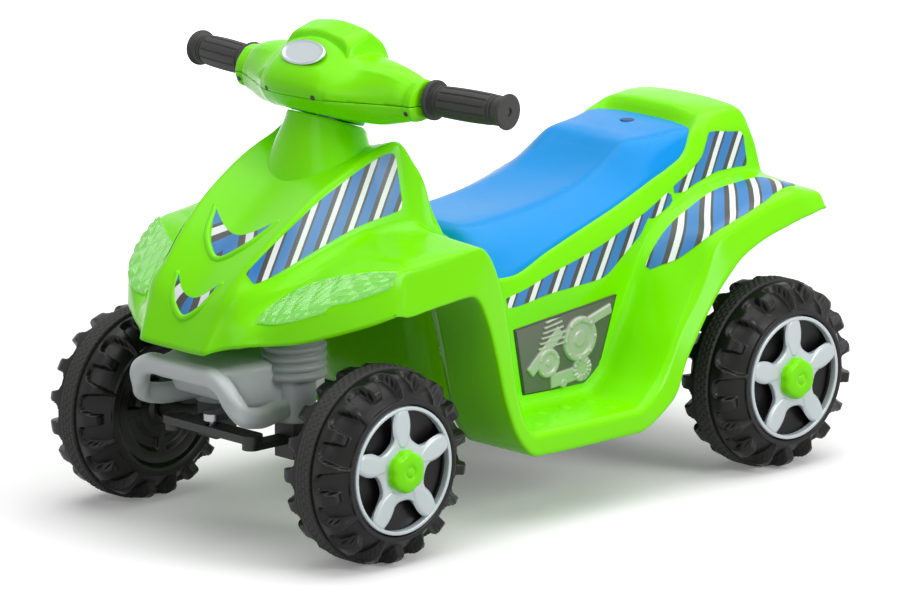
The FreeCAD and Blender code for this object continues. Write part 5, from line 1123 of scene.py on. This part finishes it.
class QUAD_OT_lenses(bpy.types.Operator):
    """Clear headlight lenses with a diamond prism and a plain rim"""

    bl_idname = "quad.lenses"
    bl_label = "Headlight lenses"

    def execute(self, context):
        columns, rows = label_grid(LENS, LENS_LONG, LENS_WIDE)
        i, j = np.arange(LENS_LONG)[:, None], np.arange(LENS_WIDE)[None, :]
        p, q = (i / DIAMOND_LONG + j / DIAMOND_WIDE) / 2, (i / DIAMOND_LONG - j / DIAMOND_WIDE) / 2
        lift = 1 - 2 * np.maximum(abs(p - np.round(p)), abs(q - np.round(q)))
        inner = smooth(0, 3, np.minimum(j, LENS_WIDE - 1 - j))
        inner = inner * smooth(0, 4, np.minimum(i, LENS_LONG - 1 - i))
        raised = (LENS_LIFT + PRISM * lift * inner) * MM
        for side, sign in SIDES:
            grid = on_skin(rows, columns * sign, raised)
            add_piece(f"{side}_lens", [Sheet(grid, away=spot((0, -180, 150)))], paint("lens"), "chassis",
                      (f"{side}_headlight_lens",), soft=False)
        return {"FINISHED"}


class QUAD_OT_panels(bpy.types.Operator):
    """Moulded motor panels in the tunnel windows"""

    bl_idname = "quad.panels"
    bl_label = "Motor panels"

    def execute(self, context):
        wall = context.scene.quad_looks.frame_wall
        inside = spot((0, 40, 130))
        for side, sign in SIDES:
            x, y, z = panel_grid(1.0, PANEL_LIFT)
            relief = np.stack([(x + panel_relief(y, z)) * sign, y, z], axis=2)
            add_piece(f"{side}_motor_relief", [Sheet(spot(relief), away=inside)], paint("relief"),
                      "chassis", (f"{side}_engine_panel",))
            x, y, z = panel_grid(1.04, 0.9, 30, 20)
            border = np.stack([x * sign, y, z], axis=2)
            add_piece(f"{side}_panel_frame", [Sheet(spot(border), away=inside)], paint("frame"), "chassis",
                      (), wall)
        return {"FINISHED"}


class QUAD_OT_seat(bpy.types.Operator):
    """Blue saddle"""

    bl_idname = "quad.seat"
    bl_label = "Seat"

    def execute(self, context):
        add_piece("saddle", seat_sheets(), paint("blue"), "chassis", ("seat",))
        # A low dark blue disc in the saddle's screw hole is painted shade.
        add_piece("seat_screw_hole_shade", oval_sheets([SEAT_SCREW], *SEAT_HOLE_SHADE), paint("hole_shade"), "chassis",
                  ())
        return {"FINISHED"}


class QUAD_OT_wheels(bpy.types.Operator):
    """Lugged wheels with bands, trims and hub caps"""

    bl_idname = "quad.wheels"
    bl_label = "Wheels"

    def execute(self, context):
        looks = context.scene.quad_looks
        wheel, band, cap = wheel_grid(looks), band_grid(), cap_grid(looks)
        trim = trim_sheets(looks)
        for name in WHEELS:
            sign = 1 if name.endswith("left") else -1
            centre = middle(f"{name}_traction_band")
            body = f"{name}_wheel"

            def sheet(grid, away=None, around=True):
                inner = None if away is None else placed([[away]], centre, sign)[0, 0]
                return Sheet(placed(grid, centre, sign), around, inner)

            add_piece(f"{name}_tyre", [sheet(wheel, (0, 0, 0))], paint("black"), body, (f"{name}_wheel",))
            add_piece(f"{name}_band", [sheet(band, (0, 0, 0))], paint("rubber"), body,
                      (f"{name}_traction_band",))
            spokes = [sheet(part.grid, part.away, part.around) for part in trim]
            if sign < 0:
                spokes[0].grid = spokes[0].grid[::-1]
            add_piece(f"{name}_trim", spokes, paint("silver"), body, (f"{name}_rim_trim",))
            add_piece(f"{name}_cap", [sheet(cap, (0.03, 0, 0))], paint("green"), body, (f"{name}_hub_cap",))
        return {"FINISHED"}


class QUAD_OT_front(bpy.types.Operator):
    """Bumper, strut tubes and bellows"""

    bl_idname = "quad.front"
    bl_label = "Bumper and struts"

    def execute(self, context):
        looks = context.scene.quad_looks
        add_piece("bumper_loop", bumper_sheets(), paint("grey"), "chassis", ("front_bumper",))
        for side, sign in SIDES:
            low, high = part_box(f"{side}_strut_tube")
            centre = np.array([(low.x + high.x) / 2, (low.y + high.y) / 2, 0])
            z0, z1 = low.z / MM, high.z / MM
            profile = [(z0, 9), (z0, TUBE_RADIUS - 1)]
            profile += [(z, TUBE_RADIUS) for z in (z0 + 0.8, z0 + 3, z1 - 1, z1 + 2)]
            core = centre + np.array([0, 0, (low.z + high.z) / 2])
            add_piece(f"{side}_tube", [Sheet(upright(profile, centre), True, core)], paint("strut"),
                      "chassis", (f"{side}_strut_tube",))
            low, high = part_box(f"{side}_strut_bellows")
            rings = upright(bellows_profile(low.z / MM, high.z / MM, looks.bellows_ribs), centre)
            core = centre + np.array([0, 0, (low.z + high.z) / 2])
            add_piece(f"{side}_bellows", [Sheet(rings, True, core)], paint("strut"), "chassis",
                      (f"{side}_strut_bellows",))
        return {"FINISHED"}


# Half the seam between the pod's halves in metres, and the discs of painted shade in the pod's screw holes:
# x, z and radius in mm
POD_SEAM = 0.0004
POD_SCREWS, HOLE_SHADE_RADIUS = ((30, 379), (106, 372)), 2.4
# Grip: gap to the pod's collar and radius of its flange, in metres
GRIP_GAP, GRIP_FLANGE = 0.0012, 0.0175
# Oval plate in mm: half-width and half-height, middle before the bar and above the ground, and its slope
PLATE_WIDE, PLATE_TALL = 26, 13.5
PLATE_Y, PLATE_Z = -38.5, 413
PLATE_BACK, PLATE_UP = 0.772, 0.635


class QUAD_OT_handlebar(bpy.types.Operator):
    """Handlebar fairing in two halves, its plate and the grips"""

    bl_idname = "quad.handlebar"
    bl_label = "Handlebar"

    def execute(self, context):
        looks = context.scene.quad_looks
        grid, bar = pod_grid(), middle("handlebar_tube")
        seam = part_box("handlebar_upper_cover")[0].z
        for half, way in (("upper", 1), ("lower", -1)):
            sheet = Sheet(grid, around=True, away=bar, ends=True)
            mesh = cut_mesh(build_mesh(f"pod_{half}", [sheet]), (0, 0, seam + way * POD_SEAM), (0, 0, way))
            finish_piece(f"pod_{half}", mesh, paint("green"), "handlebar", (f"handlebar_{half}_cover",),
                         looks.pod_wall)
        add_piece("pod_skirt", [collar_sheet()], paint("green"), "handlebar", ())
        # Dark discs in the pod's screw holes are painted shade.
        aims = [spot((x * sign, bar[1] / MM - 70, z)) for x, z in POD_SCREWS for sign in (1, -1)]
        add_piece("pod_screw_hole_shades", [self.hole_shade(grid, aim) for aim in aims], paint("dark"),
                  "handlebar", ())
        self.plate()
        grip = grip_grid(looks)
        for side, sign in SIDES:
            low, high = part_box(f"{side}_grip")
            x = (low.x if sign > 0 else high.x) + sign * GRIP_GAP
            rubber = placed(grip, (x, low.y + GRIP_FLANGE, bar[2]), sign, BAR_SWEEP * sign)
            core = rubber[60:90].mean(axis=(0, 1))
            add_piece(f"{side}_grip_rubber", [Sheet(rubber, True, core)], paint("grip"), "handlebar",
                      (f"{side}_grip",))
        return {"FINISHED"}

    def hole_shade(self, grid, aim):
        """Low dark disc of painted shade on the pod, square to its skin at the point in front of which the
        aim lies.
        """
        front = np.where(grid[..., 1] < grid[..., 1].mean(), abs(grid - aim)[..., ::2].sum(axis=2), 1)
        i, j = np.unravel_index(front.argmin(), front.shape)
        u, v = grid[i + 1, j] - grid[i - 1, j], grid[i, j + 1] - grid[i, j - 1]
        u, v = u / np.linalg.norm(u), v / np.linalg.norm(v)
        v = v - u * (u @ v)
        out = np.cross(u, v) * np.sign(-np.cross(u, v)[1])
        a = np.linspace(0, TAU, 24, endpoint=False)[None, :, None]
        q = np.array((0.01, 0.5, 0.9, 1.0))[:, None, None] * HOLE_SHADE_RADIUS * MM
        rise = out * np.array((0.5, 0.5, 0.4, 0))[:, None, None] * MM
        return Sheet(grid[i, j] + q * (u * np.cos(a) + v * np.sin(a)) + rise, True, grid[i, j] - out * 0.02)

    def plate(self):
        """Blank oval plate on the pod's sloped front: flat with a raised rim."""
        y = bar_line()
        q = np.concatenate([np.linspace(0, 0.86, 9), [0.9, 0.95, 1.0]])[:, None]
        a = np.linspace(0, TAU, 72, endpoint=False)[None, :]
        x, rise = PLATE_WIDE * q * np.cos(a), PLATE_TALL * q * np.sin(a)
        out = 1.2 + 0.8 * smooth(0.88, 0.92, q) - 1.6 * smooth(0.96, 1.0, q) + 0 * a
        face = np.stack([x, y + PLATE_Y + PLATE_BACK * rise - PLATE_UP * out,
                         PLATE_Z + PLATE_UP * rise + PLATE_BACK * out], axis=2)
        add_piece("badge_plate", [Sheet(spot(face), True, spot((0, y, 390)))], paint("plate"), "handlebar",
                  ("front_plate",))


# Material of each CAD piece that keeps its shape
CAD_PAINT = {
    "steel": ("rear_axle", "steering_column", "cover_screws", "seat_screw", "motor") + tuple(
        f"{wheel}_push_nut" for wheel in WHEELS),
    "dark": ("chassis_pan", "battery", "battery_strap", "gearbox_case", "tie_rod", "left_steering_knuckle",
             "right_steering_knuckle", "throttle_switch", "handlebar_tube"),
    "nylon": ("axle_bushes", "rear_axle_spacer", "column_lower_bush", "column_upper_bush", "idler_gear",
              "output_gear"),
    "brass": ("motor_pinion",),
    "red": ("throttle_button",),
}


class QUAD_OT_works(bpy.types.Operator):
    """Finishes of the CAD pieces that keep their shape"""

    bl_idname = "quad.works"
    bl_label = "Running gear"

    def execute(self, context):
        for key, names in CAD_PAINT.items():
            for name in names:
                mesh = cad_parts[name].data
                mesh.materials.clear()
                mesh.materials.append(paint(key))
        return {"FINISHED"}


def seen_directly(tree):
    """1 for rays that show the background: to the camera, off a glossy face or through a clear one."""
    path = add(tree, "ShaderNodeLightPath")
    both = add(tree, "ShaderNodeMath", {0: path.outputs["Is Camera Ray"], 1: path.outputs["Is Glossy Ray"]},
               operation="MAXIMUM")
    return add(tree, "ShaderNodeMath", {0: both.outputs[0], 1: path.outputs["Is Transmission Ray"]},
               operation="MAXIMUM").outputs[0]


# Camera of the photograph: its axes, its place from the target along them in metres, target and lens in mm
CAMERA_BACK, CAMERA_RIGHT = Vector((0.7051, -0.6714, 0.2284)), Vector((0.6896, 0.7242, 0))
CAMERA_UP = Vector((-0.1654, 0.1575, 0.9736))
CAMERA_AWAY, CAMERA_LEFT, CAMERA_DOWN = 6.2352, 0.0051, 0.0346
CAMERA_TARGET, CAMERA_LENS = (0, 0, 200), 281.2
# Lamps: name, place and size in metres, power in watts, and the point that they face
LAMPS = (("top", (0.2, 0.3, 3.4), 4.5, 136), ("key", (2.7, 0.6, 1.3), 1.1, 34),
         ("fill", (0.6, -2.4, 1.5), 1.1, 7))
LAMP_AIM = Vector((0, 0, 0.2))
# Floor: half its side and the radii between which it brightens to white, in metres, and its glow at each
FLOOR_HALF, GLOW_FROM, GLOW_TO = 6, 0.7, 2.0
GLOW_NEAR, GLOW_FAR = 0.16, 1.0
# Grey of the paper as the light sees it and as the eye does, and the surround's strength for each
PAPER_LIT, PAPER_SEEN = (0.42, 0.42, 0.42, 1), (0.93, 0.93, 0.93, 1)
SKY_LIT, SKY_SEEN = 0.25, 1.0


class QUAD_OT_stage(bpy.types.Operator):
    """Pale floor, soft lamps and the camera of the photograph"""

    bl_idname = "quad.stage"
    bl_label = "Stage"

    def execute(self, context):
        scene = context.scene
        self.floor()
        self.lamps()
        self.sky(scene)
        camera = bpy.data.objects.new("camera", bpy.data.cameras.new("camera"))
        scene.collection.objects.link(camera)
        place = Vector(spot(CAMERA_TARGET)) + CAMERA_BACK * CAMERA_AWAY
        camera.location = place - CAMERA_RIGHT * CAMERA_LEFT - CAMERA_UP * CAMERA_DOWN
        camera.rotation_euler = CAMERA_BACK.to_track_quat("Z", "Y").to_euler()
        camera.data.lens = CAMERA_LENS
        camera.data.clip_end = 50
        scene.camera = camera
        scene.view_settings.view_transform = "Standard"
        return {"FINISHED"}

    def floor(self):
        """Level floor that keeps the shadow and is white to the camera where nothing shades it."""
        side = (-FLOOR_HALF, FLOOR_HALF)
        mesh = build_mesh("floor", [Sheet([[(x, y, 0) for x in side] for y in side], away=(0, 0, -1))])
        item = bpy.data.objects.new("floor", mesh)
        bpy.context.scene.collection.objects.link(item)
        material, tree, out = begin("studio_paper")
        seen = seen_directly(tree)
        tone = add(tree, "ShaderNodeMix", {"Factor": seen, 6: PAPER_LIT, 7: PAPER_SEEN}, data_type="RGBA")
        paper = add(tree, "ShaderNodeBsdfDiffuse", {"Color": tone.outputs[2]})
        place = add(tree, "ShaderNodeTexCoord")
        away = add(tree, "ShaderNodeVectorMath", {0: place.outputs["Object"]}, operation="LENGTH")
        far = add(tree, "ShaderNodeMapRange", {
            "Value": away.outputs["Value"], "From Min": GLOW_FROM, "From Max": GLOW_TO, "To Min": GLOW_NEAR,
            "To Max": GLOW_FAR})
        lift = add(tree, "ShaderNodeMath", {0: seen, 1: far.outputs["Result"]}, operation="MULTIPLY")
        glow = add(tree, "ShaderNodeEmission", {"Strength": lift.outputs[0]})
        shader = add(tree, "ShaderNodeAddShader", {0: paper.outputs["BSDF"], 1: glow.outputs["Emission"]})
        tree.links.new(shader.outputs["Shader"], out.inputs["Surface"])
        mesh.materials.append(material)

    def lamps(self):
        """Soft square lamps that face the object."""
        for name, at, size, power in LAMPS:
            lamp = bpy.data.lights.new(name, "AREA")
            lamp.energy, lamp.size = power, size
            item = bpy.data.objects.new(name, lamp)
            bpy.context.scene.collection.objects.link(item)
            item.location = at
            item.rotation_euler = (Vector(at) - LAMP_AIM).to_track_quat("Z", "Y").to_euler()

    def sky(self, scene):
        """Even white surround."""
        scene.world = bpy.data.worlds.new("surround")
        scene.world.use_nodes = True
        tree = scene.world.node_tree
        tree.nodes.clear()
        level = add(tree, "ShaderNodeMapRange", {
            "Value": seen_directly(tree), "To Min": SKY_LIT, "To Max": SKY_SEEN})
        light = add(tree, "ShaderNodeBackground", {
            "Color": (1, 1, 1, 1), "Strength": level.outputs["Result"]})
        out = add(tree, "ShaderNodeOutputWorld")
        tree.links.new(light.outputs["Background"], out.inputs["Surface"])


class QUAD_PT_looks(bpy.types.Panel):
    """Sizes and colours of the quad"""

    bl_idname = "QUAD_PT_looks"
    bl_label = "Kids quad bike"
    bl_space_type = "VIEW_3D"
    bl_region_type = "UI"
    bl_category = "Quad"

    def draw(self, context):
        for name in QuadLooks.__annotations__:
            self.layout.prop(context.scene.quad_looks, name)
        for operator in OPERATORS:
            self.layout.operator(operator.bl_idname)


OPERATORS = (
    QUAD_OT_body, QUAD_OT_labels, QUAD_OT_lenses, QUAD_OT_panels, QUAD_OT_seat, QUAD_OT_wheels,
    QUAD_OT_front, QUAD_OT_handlebar, QUAD_OT_works, QUAD_OT_stage)
CLASSES = (QuadLooks,) + OPERATORS + (QUAD_PT_looks,)


def register():
    for item in CLASSES:
        bpy.utils.register_class(item)
    bpy.types.Scene.quad_looks = bpy.props.PointerProperty(type=QuadLooks)


def unregister():
    del bpy.types.Scene.quad_looks
    for item in reversed(CLASSES):
        bpy.utils.unregister_class(item)


def main():
    register()
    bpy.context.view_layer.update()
    for operator in OPERATORS:
        group, name = operator.bl_idname.split(".")
        getattr(getattr(bpy.ops, group), name)()


if __name__ == "__main__":
    main()
